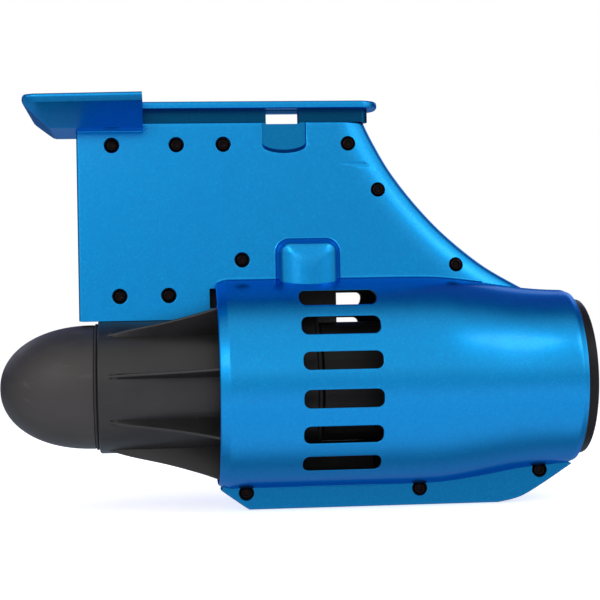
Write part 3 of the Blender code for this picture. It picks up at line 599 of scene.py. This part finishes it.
def duct_inner(x):
    """The radius of the duct's inner side at a place along it."""
    if x >= SEAT_X:
        return SEAT_R
    if x < DUCT_FRONT_X + 1:
        return DUCT_BORE_R + 0.5 * (DUCT_FRONT_X + 1 - x)
    return between(DUCT_LINE, max(x, 10.0)) - WALL


def make_duct(name, side):
    """Half of the duct: a flat plate with its slots, rolled about the axis."""
    stations = sorted({round(x, 3) for x, _ in DUCT_LINE} | {SEAT_X - 0.02, SEAT_X, DUCT_FRONT_X + 1})
    limit = 90.0 - degrees(asin(SPLIT / DUCT_R))
    seam = [limit, limit - 0.12, limit - 0.45]
    angles = [-a for a in seam] + [float(a) for a in range(-87, 88, 3)] + seam[::-1]
    work = bmesh.new()
    arc = radians(1.0) * DUCT_R
    layers = []
    for depth in (0.0, WALL):
        layers.append([[work.verts.new(Vector((x, a * arc, depth)) * MM) for a in angles] for x in stations])
    inner, outer = layers
    for i in range(len(stations) - 1):
        for j in range(len(angles) - 1):
            for grid in layers:
                work.faces.new((grid[i][j], grid[i + 1][j], grid[i + 1][j + 1], grid[i][j + 1]))
    last_i, last_j = len(stations) - 1, len(angles) - 1
    for i in range(last_i):
        for j in (0, last_j):
            work.faces.new((inner[i][j], inner[i + 1][j], outer[i + 1][j], outer[i][j]))
    for j in range(last_j):
        for i in (0, last_i):
            work.faces.new((inner[i][j], inner[i][j + 1], outer[i][j + 1], outer[i][j]))
    duct = from_bmesh(name, work)
    for vertex in duct.data.vertices:
        x, along, depth = (c / MM for c in vertex.co)
        angle = radians(along / arc)
        share = depth / WALL
        low = duct_inner(x)
        radius = low + (between(DUCT_LINE, x) - low) * share
        edge = limit - abs(along / arc)
        if share > 0.9 and edge < 0.4:
            radius -= 0.35 * (1 - edge / 0.4)
        vertex.co = Vector((x, side * radius * cos(angle), AXIS_Z + radius * sin(angle))) * MM
        if edge < 0.01:
            vertex.co.y = side * SPLIT * MM
    duct = merge(name, [duct])  # turns its faces outward again
    boolean(duct, merge("slots", [slot_tool(middle, height, side) for middle, height in SLOTS]))
    return duct


def slot_tool(middle, height, side):
    """A slot's cutter, straight through the wall from the side, flared at the duct's outer face."""
    corners = rounded_rectangle(SLOT_LENGTH, height, SLOT_CORNER, 6)
    rings = []
    for depth, flare in ((40.0, 0.0), *quarter_round(FLARE, 3), (-8.0, FLARE)):
        ring = []
        for x, z in offset(corners, -flare):
            face = sqrt(DUCT_R**2 - (middle + z) ** 2)
            reach = max(face - depth, 20.0)
            ring.append((SLOT_X + x, side * reach, AXIS_Z + middle + z))
        rings.append(ring)
    return loft("slot", rings)


def fin_rear(z):
    """The fin's trailing edge at a height."""
    return between([(-up, along) for along, up in TRAILING], -z)


TRAILING = smooth_line(FIN_EDGE, 8)


def edge_distance(x, z):
    """Distance from a point of the fin's side to its trailing edge."""
    best = 1e9
    here = Vector((x, z))
    for one, other in zip(TRAILING, TRAILING[1:]):
        a, b = Vector(one), Vector(other)
        share = max(0.0, min(1.0, (here - a).dot(b - a) / (b - a).length_squared))
        best = min(best, (here - a - (b - a) * share).length)
    return best


def rounding(distance, radius):
    """How much a rounded edge takes off at a distance from it."""
    if distance >= radius:
        return 0.0
    return radius - sqrt(max(0.0, radius**2 - (radius - distance) ** 2))


def fin_depth(x, z):
    """Half thickness of the fin: flat, with round front and top edges and a long trailing taper."""
    gap = edge_distance(x, z)
    taper, thinning, nib, nib_share = 21.0, 6.6, 2.4, 0.12
    depth = FIN_HALF
    if gap < taper:
        depth -= thinning * (1 - gap / taper) ** 2.3
    if gap < nib:
        depth *= nib_share + (1 - nib_share) * sqrt(max(0.0, 1 - (1 - gap / nib) ** 2))
    return depth - rounding(x - FIN_FRONT_X, 1.6) - rounding(FIN_TOP_Z - z, 0.9)


def side_sheet(name, rows, side, depth_of):
    """A closed half solid from the mid-plane out to a depth given at each (x, z) of a grid."""
    work = bmesh.new()
    grid = [[work.verts.new(Vector((x, side * depth_of(x, z), z)) * MM) for x, z in row] for row in rows]
    for one, other in zip(grid, grid[1:]):
        for k in range(len(one) - 1):
            work.faces.new((one[k], one[k + 1], other[k + 1], other[k]))
    rim = grid[0] + [row[-1] for row in grid[1:]] + grid[-1][-2::-1] + [row[0] for row in grid[-2:0:-1]]
    base = [work.verts.new(Vector((v.co.x, side * SPLIT * MM, v.co.z))) for v in rim]
    for k in range(len(rim)):
        n = (k + 1) % len(rim)
        work.faces.new((rim[k], rim[n], base[n], base[k]))
    work.faces.new(base)
    return from_bmesh(name, work)


def fin_rows():
    """The grid of the fin's side, row by row from the top, closer together at its edges."""
    foot = FIN_EDGE[-1][1]
    gaps = (24, 20, 17, 14.5, 12, 10, 8, 6.2, 4.6, 3.3, 2.4, 1.7, 1.1, 0.6, 0.25, 0.0)
    front = [FIN_FRONT_X + gap for gap in (0.0, 0.15, 0.5, 1.0, 1.6)]
    start = front[-1]
    heights = [FIN_TOP_Z - drop for drop in (0.0, 0.12, 0.4, 0.9)]
    heights += [FIN_TOP_Z - 2.6 - 1.85 * k for k in range(60)] + [-125.0, -128.0]
    rows = []
    for z in heights:
        end = fin_rear(max(z, foot))
        ahead, behind = fin_rear(min(z + 1, FIN_TOP_Z)), fin_rear(z - 1)
        lean = min(1.0, 2.0 / hypot(2.0, behind - ahead)) if z > foot else 1.0
        rear = [end - gap / lean for gap in gaps]
        middle = [start + (rear[0] - start) * k / 14 for k in range(1, 14)]
        rows.append([(x, z) for x in front + middle + rear])
    return rows


def recess_outline():
    """The finger recess: open at the fin's top, curved at its foot."""
    low, high = RECESS_X
    middle, half = (low + high) / 2, (high - low) / 2
    arc = [radians(-180 + 15 * k) for k in range(13)]
    curve = [(middle + half * cos(a), RECESS_Z + RECESS_DROP * sin(a)) for a in arc]
    return [(low, FIN_TOP_Z + 3), *curve, (high, FIN_TOP_Z + 3)]


def recess_tool(side):
    """The recess's cutter: a floor that slopes up to its foot, and a soft lip."""
    outline = recess_outline()
    floor = [(x, z + 2.0 * min(1.0, max(0.0, (-22.0 - z) / 4.0))) for x, z in offset(outline, 0.2)]
    rings = [(FIN_HALF - 2.6, floor), (FIN_HALF - 0.45, outline)]
    for lift, out in ((0.15, 0.12), (0.0, 0.45), (-8.0, 0.45)):
        rings.append((FIN_HALF - lift, offset(outline, -out)))
    return loft("recess", [[(x, side * depth, z) for x, z in ring] for depth, ring in rings])


def counterbore(place, half, side):
    """Room for a screw: a counterbore on the port side, a blind thread hole on the starboard side."""
    centre = (place[0], 0, place[1])
    if side == STARBOARD:
        return drill(centre, "Y", 2.2, -2, 6.3, 16)
    bore, floor, shank = SCREW_BORE_R, -4.6, 2.3
    mouth = [(depth - half, bore + flare) for depth, flare in reversed(quarter_round(FLARE, 3))]
    profile = [(-half - 6, 0), (-half - 6, bore + FLARE), *mouth]
    profile += [(floor, bore), (floor, shank), (2, shank), (2, 0)]
    return turned("hole", profile, "Y", centre, 40)


def scallop_tool(side):
    """Conical scoop that opens toward the trailing edge."""
    tip = Vector((60.0, side * FIN_HALF, -35.5))
    mouth = Vector((94.0, side * (FIN_HALF + 7.0), -37.0))
    reach, radius = (mouth - tip).length, 10.2
    scoop = turned("scoop", [(0, 0), (reach, radius), (reach, 0)], "X", (0, 0, 0), 96)
    turn = Vector((1.0, 0.0, 0.0)).rotation_difference(mouth - tip).to_matrix().to_4x4()
    scoop.data.transform(Matrix.Translation(tip * MM) @ turn)
    return scoop


def round_tool(across, up, radius):
    """A cutter for a round opening in the starboard side, flared at the fin's face."""
    profile = [(4, 0), (4, radius), (8.6, radius), (9.0, radius + 0.4), (11, radius + 0.4), (11, 0)]
    return turned("hole", profile, "Y", (across, 0, up), 48)


def inner_room(side, x_range, depth, z_range):
    """A box from past the mid-plane to a depth in one half."""
    return box("room", x_range, sorted((-side * 2, side * depth)), z_range)


def make_fin(name, side):
    fin = side_sheet(name, fin_rows(), side, fin_depth)
    inside = [(-140, 0), (-140, POD_R + ROOM), (STRUT_STEP_X, POD_R + ROOM), (STRUT_STEP_X, STRUT_BORE_R)]
    inside.append((STRUT_REAR_X, STRUT_BORE_R))
    inside += [(x, between(DUCT_LINE, x) - SINK) for x in (STRUT_REAR_X, *range(70, 210, 4))] + [(210, 0)]
    boolean(fin, turned("inside", inside, "X", AXIS, 120))
    wire = 3.2
    rooms = [inner_room(side, (-80, 72), 6, (-80, -34))]
    rooms += [inner_room(side, (x - wire, x + wire), wire, (-126, -81)) for x in (30.0, 15.5)]
    boolean(fin, merge("rooms", rooms))
    tongue = (TONGUE_X[0] - ROOM, TONGUE_X[1] + ROOM)
    boolean(fin, inner_room(side, tongue, TONGUE_HALF + ROOM, (TONGUE_LOW_Z - ROOM, 0)))
    boolean(fin, recess_tool(side))
    boolean(fin, box("window", WINDOW_X, (-20, 20), (WINDOW_Z, 0)))
    boolean(fin, scallop_tool(side))
    boolean(fin, merge("screw_rooms", [counterbore(place, FIN_HALF, side) for place in FIN_SCREWS]))
    if side == PORT:
        across, up = zip(NOTCH_LOW, NOTCH_HIGH)
        boolean(fin, box("drain_notch", across, (-30, -1.6), up))
    else:
        holes = [round_tool(-60, -52, 6.0), round_tool(-44, -52, 2.8), round_tool(46, -52, 7.0)]
        boolean(fin, merge("holes", holes))
    return fin


def keel_outline():
    along = (-9, 20, 60, 100, 115, 130, 150, 170, 190)
    wall = [(x, AXIS_Z - between(DUCT_LINE, x) + 1.8) for x in along]
    under = smooth_line([(194, -211.4), (177, -222.2), (163, -229.8), (150, KEEL_Z)], 5)
    return [*wall, *under, (6, KEEL_Z), (3, KEEL_Z + 1.8), (-10, -221.5)]


def make_keel(name, side):
    keel = plate(name, keel_outline(), "XZ", -KEEL_HALF, KEEL_HALF, 1.0)
    middle, low, width, height, proud = 57.8, -218.4, 44.4, 4.2, 3.2
    strip = [(middle + x, low + z) for x, z in rounded_rectangle(width, height, 0.8)]
    boolean(keel, plate("strip", strip, "XZ", -KEEL_HALF - proud, KEEL_HALF + proud, 0.5), "UNION")
    boolean(keel, box("half", (-60, 260), sorted((side * SPLIT, -side * 40)), (-260, -150)))
    bore = [(-60, 0), (-60, DUCT_R - SINK), (98, DUCT_R - SINK), (240, 46), (240, 0)]
    boolean(keel, turned("bore", bore, "X", AXIS, 120))
    boolean(keel, merge("screw_rooms", [counterbore(place, KEEL_HALF, side) for place in KEEL_SCREWS]))
    return keel


def boss_depth(x, z):
    """Height of the boss on the fin: an upright half barrel with a round top and a soft foot all round."""
    corner, foot = 8.0, 1.9
    across, below = x - BOSS_X, BOSS_TOP_Z - z
    qx, qz = abs(across) - (BOSS_HALF - corner), corner - below
    if qx > 0 and qz > 0:
        inside = corner - hypot(qx, qz)
    else:
        inside = min(BOSS_HALF - abs(across), below)
    if inside <= 0:
        share = max(0.0, 1 + inside / foot)
        return FIN_HALF - 0.12 + share**2
    barrel = 5.0 + 11.0 * (1 - (across / BOSS_HALF) ** 2)
    share = min(1.0, below / 7.5)
    dome = 15.0 * sqrt(max(0.0, 1 - (1 - share) ** 2))
    round_side = (barrel**-3 + max(dome, 0.05) ** -3) ** (-1 / 3)
    edge = 7.8 * sqrt(min(1.0, inside / 3.2)) + 0.8 * inside
    rise = (max(round_side, 0.05) ** -4 + max(edge, 0.05) ** -4) ** -0.25
    return FIN_HALF + 0.88 + rise


def make_boss(name, side):
    skirt, count = 2.2, 72
    xs = [BOSS_X - (BOSS_HALF + skirt) * cos(pi * k / count) for k in range(count + 1)]
    zs = [BOSS_TOP_Z + skirt - 0.42 * k for k in range(20)]
    zs += [BOSS_TOP_Z - 6.5 - 0.9 * k for k in range(1, 25)]
    return side_sheet(name, [[(x, z) for x in xs] for z in zs], side, boss_depth)


def make_crease(name, side):
    """Fillet between the fin's side and the duct's top."""
    radius, steps = 1.6, 5
    rings = []
    for x in [DUCT_FRONT_X + 1.2 + 3.2 * k for k in range(49)]:
        duct = between(DUCT_LINE, x)
        depth = fin_depth(x, AXIS_Z + duct)
        up = AXIS_Z + sqrt(max(1.0, (duct + radius) ** 2 - (depth + radius) ** 2))
        middle = Vector((depth + radius, up))
        toward = (Vector((0, AXIS_Z)) - middle).normalized()
        start, end = pi, atan2(toward.y, toward.x) % tau
        arc = [start + (end - start) * k / steps for k in range(steps + 1)]
        line = [(middle.x + radius * cos(a), middle.y + radius * sin(a)) for a in arc]
        (first, top), (last, foot) = line[0], line[-1]
        line += [(last - 0.3, foot - 0.9), (first - 0.9, top - 0.9), (first - 0.9, top)]
        rings.append([(x, side * y, z) for y, z in line])
    return loft(name, rings)


def make_web(name, side):
    """Half of the black web between the lower wall of the duct and the motor, on the mid-plane."""
    foot, head = AXIS_Z - DUCT_BORE_R - 0.8, AXIS_Z - 36.4
    outline = [(34.6, foot), (81.0, foot), (79.0, foot + 9), (77.5, head), (36.0, head), (35.2, foot + 9)]
    return plate(name, outline, "XZ", *sorted((side * SPLIT, side * 2.0)), 0.5)


def make_shell(prefix, side):
    nodes = [prefix + "_shell"]
    dress(make_web(prefix + "_web", side), LINING, nodes, 50)
    dress(make_duct(prefix + "_duct", side), BLUE, nodes, 32, LINING)
    fin = dress(make_fin(prefix + "_fin", side), BLUE, nodes, 32, LINING)
    # Painted shade in the finger recess.
    refinish(fin, SHADE_BLUE, in_recess)
    # The keel gets the darker paint as painted shade.
    dress(make_keel(prefix + "_keel", side), SHADE_BLUE, nodes, 32, LINING)
    dress(make_boss(prefix + "_boss", side), BLUE, nodes, 60)
    dress(make_crease(prefix + "_crease", side), BLUE, nodes, 60)


# Rail and wedge


def rail_outline(end, half, corner):
    """Seen from above: square at the front, with rounded corners at the rear."""
    outline = [(-RAIL_END_X, -half)]
    for side, start in ((-1, -90), (1, 0)):
        for a in (radians(start + 7.5 * k) for k in range(13)):
            across = side * (half - corner) + corner * sin(a)
            outline.append((end - corner + corner * cos(a), across))
    return [*outline, (-RAIL_END_X, half)]


def countersunk(room):
    """The profile of a countersunk screw, or of its hole where there is room round it."""
    top = 0.3 if room else -0.2
    shank, head = 1.5 + room, 3.0 + room
    tip, neck = -10.6 - room, -1.9 - room
    return [(tip, 0), (tip, shank), (neck, shank), (-0.4, head), (top, head), (top, 0)]


def make_rail():
    rail = plate("rail", rail_outline(RAIL_END_X, RAIL_HALF, 12.0), "XY", -RAIL_THICK, 0.0, 1.3, 4)
    web = plate("web", rail_outline(78.9, RAIL_WEB_HALF, 4.8), "XY", FIN_TOP_Z + 0.3, -3.0)
    boolean(rail, web, "UNION")
    tongue = box("tongue", TONGUE_X, (-TONGUE_HALF, TONGUE_HALF), (TONGUE_LOW_Z, FIN_TOP_Z + 1))
    boolean(rail, tongue, "UNION")
    boolean(rail, box("window", WINDOW_X, (-20, 20), (WINDOW_Z, -4.6)))
    boolean(rail, merge("holes", [drill((x, 0, z), "Y", 2.3, -5, 5, 24) for x, z in FIN_SCREWS[:4]]))
    sunk = [turned("hole", countersunk(ROOM), "Z", (*place, 0), 32) for place in WEDGE_SCREWS]
    boolean(rail, merge("screw_holes", sunk))
    dress(rail, BLUE, ["base_rail"], 32)
    deep, wide = -RAIL_THICK - 0.1, RAIL_WEB_HALF + 0.3
    # The groove under the rail's top gets the darker paint as painted shade.
    refinish(rail, GROOVE_SHADE_BLUE, lambda place: place.z < deep and abs(place.y) < wide)


def wedge_section(x):
    """Half of the wedge's cross-section at a place along it, from the top's middle to the bottom's middle."""
    wide, low, top = between(WEDGE_WIDE, x), between(WEDGE_LOW, x), between(WEDGE_TOP, x)
    corner, foot_half, foot_low = 1.5, 24.0, WEDGE_LOW[-1][1]
    arc = [radians(90 - 18 * k) for k in range(6)]
    line = [(wide - corner + corner * cos(a), top - corner + corner * sin(a)) for a in arc]
    lower = max(-4.4, low + 0.4)
    across, up = wide - 3.2, lower - 0.35 if low < -5 else lower - 0.1
    foot = across - (across - foot_half) * (up - low) / (up - foot_low)
    line += [(wide - 0.1, (top - corner) * 0.85 + lower * 0.15), (wide - 2.6, lower), (across, up)]
    return [(0.0, top), *line, (foot + 0.9, low + 0.3), (foot - 0.2, low), (0.0, low)]


def make_wedge():
    stations = [-116.2, -115.95, -115.4, -114.9, -114.2, -113, -111, -109.2, -107, -105, -103.2, -102.2]
    stations += [-101.4, -99, -90, -80, -70, -60, -51.3, -50.6]
    rings = []
    for x in stations:
        half = wedge_section(x)
        rings.append([(x, y, z) for y, z in half] + [(x, -y, z) for y, z in half[-2:0:-1]])
    wedge = loft("wedge", rings)
    rail, web = (-RAIL_END_X, RAIL_HALF, -4.5, 5), (-RAIL_END_X, RAIL_WEB_HALF, -14, 1)
    for front, half, low, high in (rail, web, (FIN_FRONT_X, FIN_HALF, -20, -11.2)):
        boolean(wedge, box("room", (front - ROOM, 0), (-half - ROOM, half + ROOM), (low, high)))
    holes = [drill((*place, 0), "Z", 1.8, -20, 5, 24) for place in WEDGE_SCREWS]
    boolean(wedge, merge("screw_holes", holes))
    dress(wedge, BLUE, ["front_wedge"], 28)
    outline = [(-88.0, -15.6), (-52.0, -15.6), (-49.6, -13.4), (-48.6, -14.4), (-51.2, -16.9), (-88.0, -16.9)]
    for side, name in ((PORT, "wedge_lip_port"), (STARBOARD, "wedge_lip_starboard")):
        lip = plate(name, outline, "XZ", *sorted((side * 9.35, side * 11.0)), 0.4)
        dress(lip, BLUE, ["front_wedge"], 50)


# Screws


def make_screws():
    seat, key_r = -SCREW_SEAT, 1.75
    head = seat - SCREW_HEAD
    profile = [(head, 0), (head, 2.2), (head + 0.06, 2.55), (head + 0.3, 3.0), (head + 0.75, 3.32)]
    profile += [(head + 1.3, SCREW_HEAD_R), (seat, SCREW_HEAD_R), (seat, THREAD_R), (5.7, THREAD_R)]
    profile += [(6.0, 1.6), (6.0, 0)]
    key = [(head - 1, 0), (head - 1, key_r + 0.25), (head, key_r + 0.25), (head + 0.25, key_r)]
    key += [(head + 2.0, key_r), (head + 2.5, 0)]
    for number, (across, up) in enumerate(FIN_SCREWS + KEEL_SCREWS, 1):
        node = f"shell_screw_{number:02d}"
        screw = turned(node + "_detail", profile, "Y", (across, 0, up), 40)
        tool = turned("key", key, "Y", (0, 0, 0), 6)
        lean = Matrix.Rotation(radians(37 * number), 4, "Y")
        tool.data.transform(Matrix.Translation(Vector((across, 0, up)) * MM) @ lean)
        boolean(screw, tool)
        dress(screw, STEEL, [node], 40)
    for number, place in enumerate(WEDGE_SCREWS, 1):
        screw = turned(f"wedge_screw_{number}_detail", countersunk(0), "Z", (*place, 0), 40)
        boolean(screw, drill((*place, 0), "Z", 1.1, -1.6, 1, 6))
        dress(screw, STEEL, [f"wedge_screw_{number}"], 40)


# Pod, nose and outlet


def superellipse(back, radius, tip, steps):
    """The nose's profile, from its tip back to its widest place, a little fuller than an ellipse."""
    power = 2 / 2.15
    line = []
    for angle in (pi / 2 * step / steps for step in range(1, steps)):
        line.append((back - (back - tip) * cos(angle) ** power, radius * sin(angle) ** power))
    return [(tip, 0.0), *line, (back, radius)]


def make_nose():
    back, neck_end = NOSE_BACK_X, -72.0
    outer = superellipse(back - 0.7, NOSE_R, NOSE_TIP_X, 44)
    lip = [(back - 0.2, NOSE_R - 0.1), (back, NOSE_R - 0.45)]
    neck = [(back, NOSE_NECK_R), (neck_end, NOSE_NECK_R), (neck_end, NOSE_BORE_R)]
    inner = superellipse(back, NOSE_BORE_R, NOSE_TIP_X + WALL, 16)
    nose = turned("nose", outer + lip + neck + inner[::-1], "X", AXIS, 128)
    dress(nose, NOSE_BLACK, ["nose_cap"], 35, body="nose")
    front, behind = back + 0.2, POD_FRONT_X - 0.3
    middle, half = (front + behind) / 2, (behind - front) / 2
    arc = [radians(180 - 30 * k) for k in range(7)]
    inner_r, outer_r, bulge = 34.6, 35.3, 0.65
    bead = [(middle + half * cos(a), outer_r + bulge * sin(a)) for a in arc]
    profile = [(front, inner_r), *bead, (behind, inner_r)]
    seal = turned("seal", profile, "X", AXIS, 128, closed=True)
    dress(seal, RUBBER, ["nose_seal"], 50, body="nose_thread")


def make_vane(angle):
    """One rib of the pod, thicker at its root, its ridge rounded."""
    rise = smooth_line([(-75, POD_R - 0.4), (-72, 38.3), (-60, 42), (-40, 47), (-22, 52.6), (-12, 56.4)], 4)
    ridge = [*rise, (0, 56.4), (20, 56.4), (23, 54.2), (26, 50), (30, POD_R - 1.0)]
    root, cap, half = POD_R - 1.2, 0.75, 0.85
    turn = Matrix.Rotation(radians(-angle), 3, "X")
    rings = []
    for x, top in ridge:
        high = max(top, root + 0.6)
        across = [(root, 1.75), (min(high - 0.3, root + 1.6), 1.45), (high - cap, half)]
        for a in (radians(30), radians(60)):
            across.append((high - cap + cap * sin(a), half * cos(a)))
        section = [*across, (high, 0.0), *((r, -w) for r, w in reversed(across))]
        places = [turn @ Vector((0.0, -r, w)) for r, w in section]
        rings.append([(x, place.y, AXIS_Z + place.z) for place in places])
    return loft("vane", rings)


def make_pod():
    rim, painted_shade_x = ((0.0, 1.2), (0.15, 0.7), (0.5, 0.25), (1.2, 0.0)), 25
    tube = [(POD_FRONT_X, POD_BORE_R)] + [(POD_FRONT_X + along, POD_R - drop) for along, drop in rim]
    tube += [(x, POD_R) for x in (-60, -20, 20, painted_shade_x, POD_REAR_X - 0.6)]
    tube += [(POD_REAR_X, POD_R - 0.6), (POD_REAR_X, POD_BORE_R)]
    body = turned("pod", tube, "X", AXIS, 128, closed=True)
    pod = merge("pod", [body] + [make_vane(angle) for angle in VANE_ANGLES])
    dress(pod, POD_BLACK, ["pod_housing"], 32)
    # The pod's rear, inside the duct, gets darker plastic as painted shade.
    refinish(pod, INNER_BLACK, lambda place: place.x > painted_shade_x)


def make_nozzle():
    front, outer_r = 184.0, SEAT_R - ROOM
    line = [(front, 44.8), (front, outer_r), (194.4, outer_r), (195.0, outer_r - 0.15)]
    line += [(195.4, outer_r - 0.6), (195.5, 45.6), (195.7, 45.2), (199.6, 44.9), (200.3, 44.6)]
    line += [(200.8, 44.0), (200.8, 42.7), (200.5, 42.2), (199.8, 42.0), (front + 2.0, 43.2)]
    nozzle = turned("nozzle", line, "X", AXIS, 128, closed=True)
    dress(nozzle, RING_BLACK, ["nozzle_ring"], 35)


# Materials for the model's own nodes


def repaint():
    finishes = {
        BRIGHT: ("front_bearing", "rear_bearing", "drive_shaft", "heat_sink"),
        DARK_METAL: ("motor_case", "motor_rotor", "capacitor"),
        INNER_BLACK: ("motor_mount", "propeller"),
        RUBBER: ("shaft_seal", "charge_flap"),
        CABLE: ("motor_cable", "battery_cable"),
        SPRING_STEEL: ("button_spring",),
        RING_BLACK: ("tail_cone", "stator_vanes", "charge_socket", "power_button", "terminal_block"),
        POD_BLACK: ("cell_holder_front", "cell_holder_rear"),
        circuit_board(): ("battery_board", "controller_board"),
        winding(): ("motor_stator",),
        sleeve(): tuple(f"cell_{n}" for n in range(1, 7)),
        lens(): ("led_lens",),
    }
    for material, names in finishes.items():
        for name in names:
            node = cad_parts[name]
            node.data.materials.clear()
            node.data.materials.append(material)


# Studio


def join(tree, node, outputs):
    """Link outputs to a node's inputs, in order."""
    for socket, output in zip(node.inputs, outputs):
        tree.links.new(output, socket)


def make_floor():
    """A white floor that fades out to clear at its edge."""
    work = bmesh.new()
    reach = 1.6
    bmesh.ops.create_circle(work, cap_ends=True, radius=reach, segments=96)
    floor = from_bmesh("studio_floor", work)
    floor.location = (0.0, 0.0, shell_low.z - 0.0004)
    floor.visible_glossy = False
    material = node_material("studio_floor")
    tree = material.node_tree
    new, link = tree.nodes.new, tree.links.new
    shader = tree.nodes["Principled BSDF"]
    fill(shader, ("Base Color", (0.93, 0.93, 0.935, 1.0)), ("Roughness", 0.85), ("Specular IOR Level", 0.1))
    fill(shader, ("Emission Color", (1.0, 1.0, 1.0, 1.0)), ("Emission Strength", 0.65))
    place = new("ShaderNodeTexCoord")
    scale = new("ShaderNodeMapping")
    fill(scale, ("Scale", grey(1 / reach)))
    fade = new("ShaderNodeTexGradient")
    fade.gradient_type = "SPHERICAL"
    ramp = new("ShaderNodeMapRange")
    fill(ramp, ("From Min", 0.02), ("From Max", 0.6))
    clear = new("ShaderNodeBsdfTransparent")
    mix = new("ShaderNodeMixShader")
    surface = tree.nodes["Material Output"].inputs["Surface"]
    link(place.outputs["Object"], scale.inputs["Vector"])
    link(scale.outputs[0], fade.inputs["Vector"])
    link(fade.outputs["Fac"], ramp.inputs["Value"])
    join(tree, mix, (ramp.outputs[0], clear.outputs[0], shader.outputs[0]))
    link(mix.outputs[0], surface)
    floor.data.materials.append(material)


def softbox(name, azimuth, elevation, size, radiance):
    """A rectangular light of a given brightness. Azimuth 0 is the port side and 90 is astern."""
    across, up, distance = radians(azimuth), radians(elevation), 1.6
    middle = Vector((0.03, 0.0, -0.12))
    toward = Vector((sin(across) * cos(up), -cos(across) * cos(up), sin(up)))
    light = bpy.data.lights.new(name, "AREA")
    light.shape = "RECTANGLE"
    light.size, light.size_y = size
    light.energy = radiance * pi * size[0] * size[1]
    thing = new_object(name, light)
    thing.location = middle + toward * distance
    thing.rotation_euler = (-toward).to_track_quat("-Z", "Y").to_euler()
    thing.visible_camera = False


def make_lights():
    softbox("left_low", -28, 10, (0.5, 0.5), 0.95)
    softbox("left_high", -28, 38, (0.6, 0.6), 0.25)
    softbox("far_left", -60, 26, (0.9, 0.9), 0.14)
    softbox("middle", -15, 16, (0.6, 0.4), 0.7)
    softbox("right", 50, 18, (0.6, 0.6), 0.85)
    softbox("right_high", 51, 40, (0.5, 0.5), 0.45)
    softbox("astern", 78, 22, (0.7, 0.7), 0.22)
    softbox("key_right", 46, 36, (0.42, 0.42), 2.7)
    softbox("key_left", -37, 25, (0.26, 0.42), 5.5)
    softbox("back_left", -140, 25, (0.9, 0.7), 0.9)
    softbox("back_right", 140, 25, (0.9, 0.7), 0.9)


def make_world():
    """White to the camera. What the object reflects is bright in front and dim and bluish behind."""
    world = bpy.data.worlds.new("studio")
    bpy.context.scene.world = world
    world.use_nodes = True
    tree = world.node_tree
    new, link = tree.nodes.new, tree.links.new
    place = new("ShaderNodeTexCoord")
    split = new("ShaderNodeSeparateXYZ")
    link(place.outputs["Generated"], split.inputs[0])

    def level(source, ranges):
        node = new("ShaderNodeMapRange")
        node.interpolation_type = "SMOOTHSTEP"
        link(split.outputs[source], node.inputs["Value"])
        fill(node, *zip(RANGE_SOCKETS, ranges))
        return node.outputs[0]

    def product(one, other):
        node = new("ShaderNodeMath")
        node.operation = "MULTIPLY"
        join(tree, node, (one, other))
        return node.outputs[0]

    front, behind = level("Y", (-0.4, 0.2, 1, 0)), level("Y", (-0.2, 0.4, 0, 1))
    up, down = level("Z", (-0.1, 0.35, 0, 1)), level("Z", (-0.35, 0.1, 1, 0))
    middle = product(level("Z", (-0.5, -0.05, 0, 1)), level("Z", (0.05, 0.5, 1, 0)))
    glows = (
        (front, up, grey(1.09)),
        (front, middle, (0.40, 0.40, 0.42)),
        (front, down, (1.05, 1.05, 1.20)),
        (behind, up, (0.12, 0.15, 0.40)),
        (behind, down, (0.45, 0.54, 0.66)),
    )
    total = None
    for one, other, colour in glows:
        back = new("ShaderNodeBackground")
        back.inputs["Color"].default_value = (*colour, 1.0)
        link(product(one, other), back.inputs["Strength"])
        if total is None:
            total = back.outputs[0]
            continue
        joined = new("ShaderNodeAddShader")
        join(tree, joined, (total, back.outputs[0]))
        total = joined.outputs[0]
    seen = tree.nodes["Background"]
    seen.inputs["Color"].default_value = (1.0, 1.0, 1.0, 1.0)
    path = new("ShaderNodeLightPath")
    mix = new("ShaderNodeMixShader")
    join(tree, mix, (path.outputs["Is Camera Ray"], total, seen.outputs[0]))
    link(mix.outputs[0], tree.nodes["World Output"].inputs["Surface"])


def make_camera():
    camera = new_object("camera", bpy.data.cameras.new("camera"))
    right = Vector((0.99561959, -0.09129757, -0.02015918))
    down = Vector((-0.01821247, 0.02210596, -0.99958973))
    forward = Vector((0.09170576, 0.99557826, 0.02034638))
    turn = Matrix((right, -down, -forward)).transposed().to_4x4()
    camera.matrix_world = Matrix.Translation(Vector((-44.483, -893.598, -131.833)) * MM) @ turn
    camera.data.sensor_width = 36.0
    camera.data.lens = 93.15
    camera.data.clip_start = 0.05
    camera.data.clip_end = 20.0
    bpy.context.scene.camera = camera


make_shell("port", PORT)
make_shell("starboard", STARBOARD)
make_rail()
make_wedge()
make_screws()
make_nose()
make_pod()
make_nozzle()
repaint()
make_floor()
make_lights()
make_world()
make_camera()
bpy.context.scene.view_settings.view_transform = "Standard"
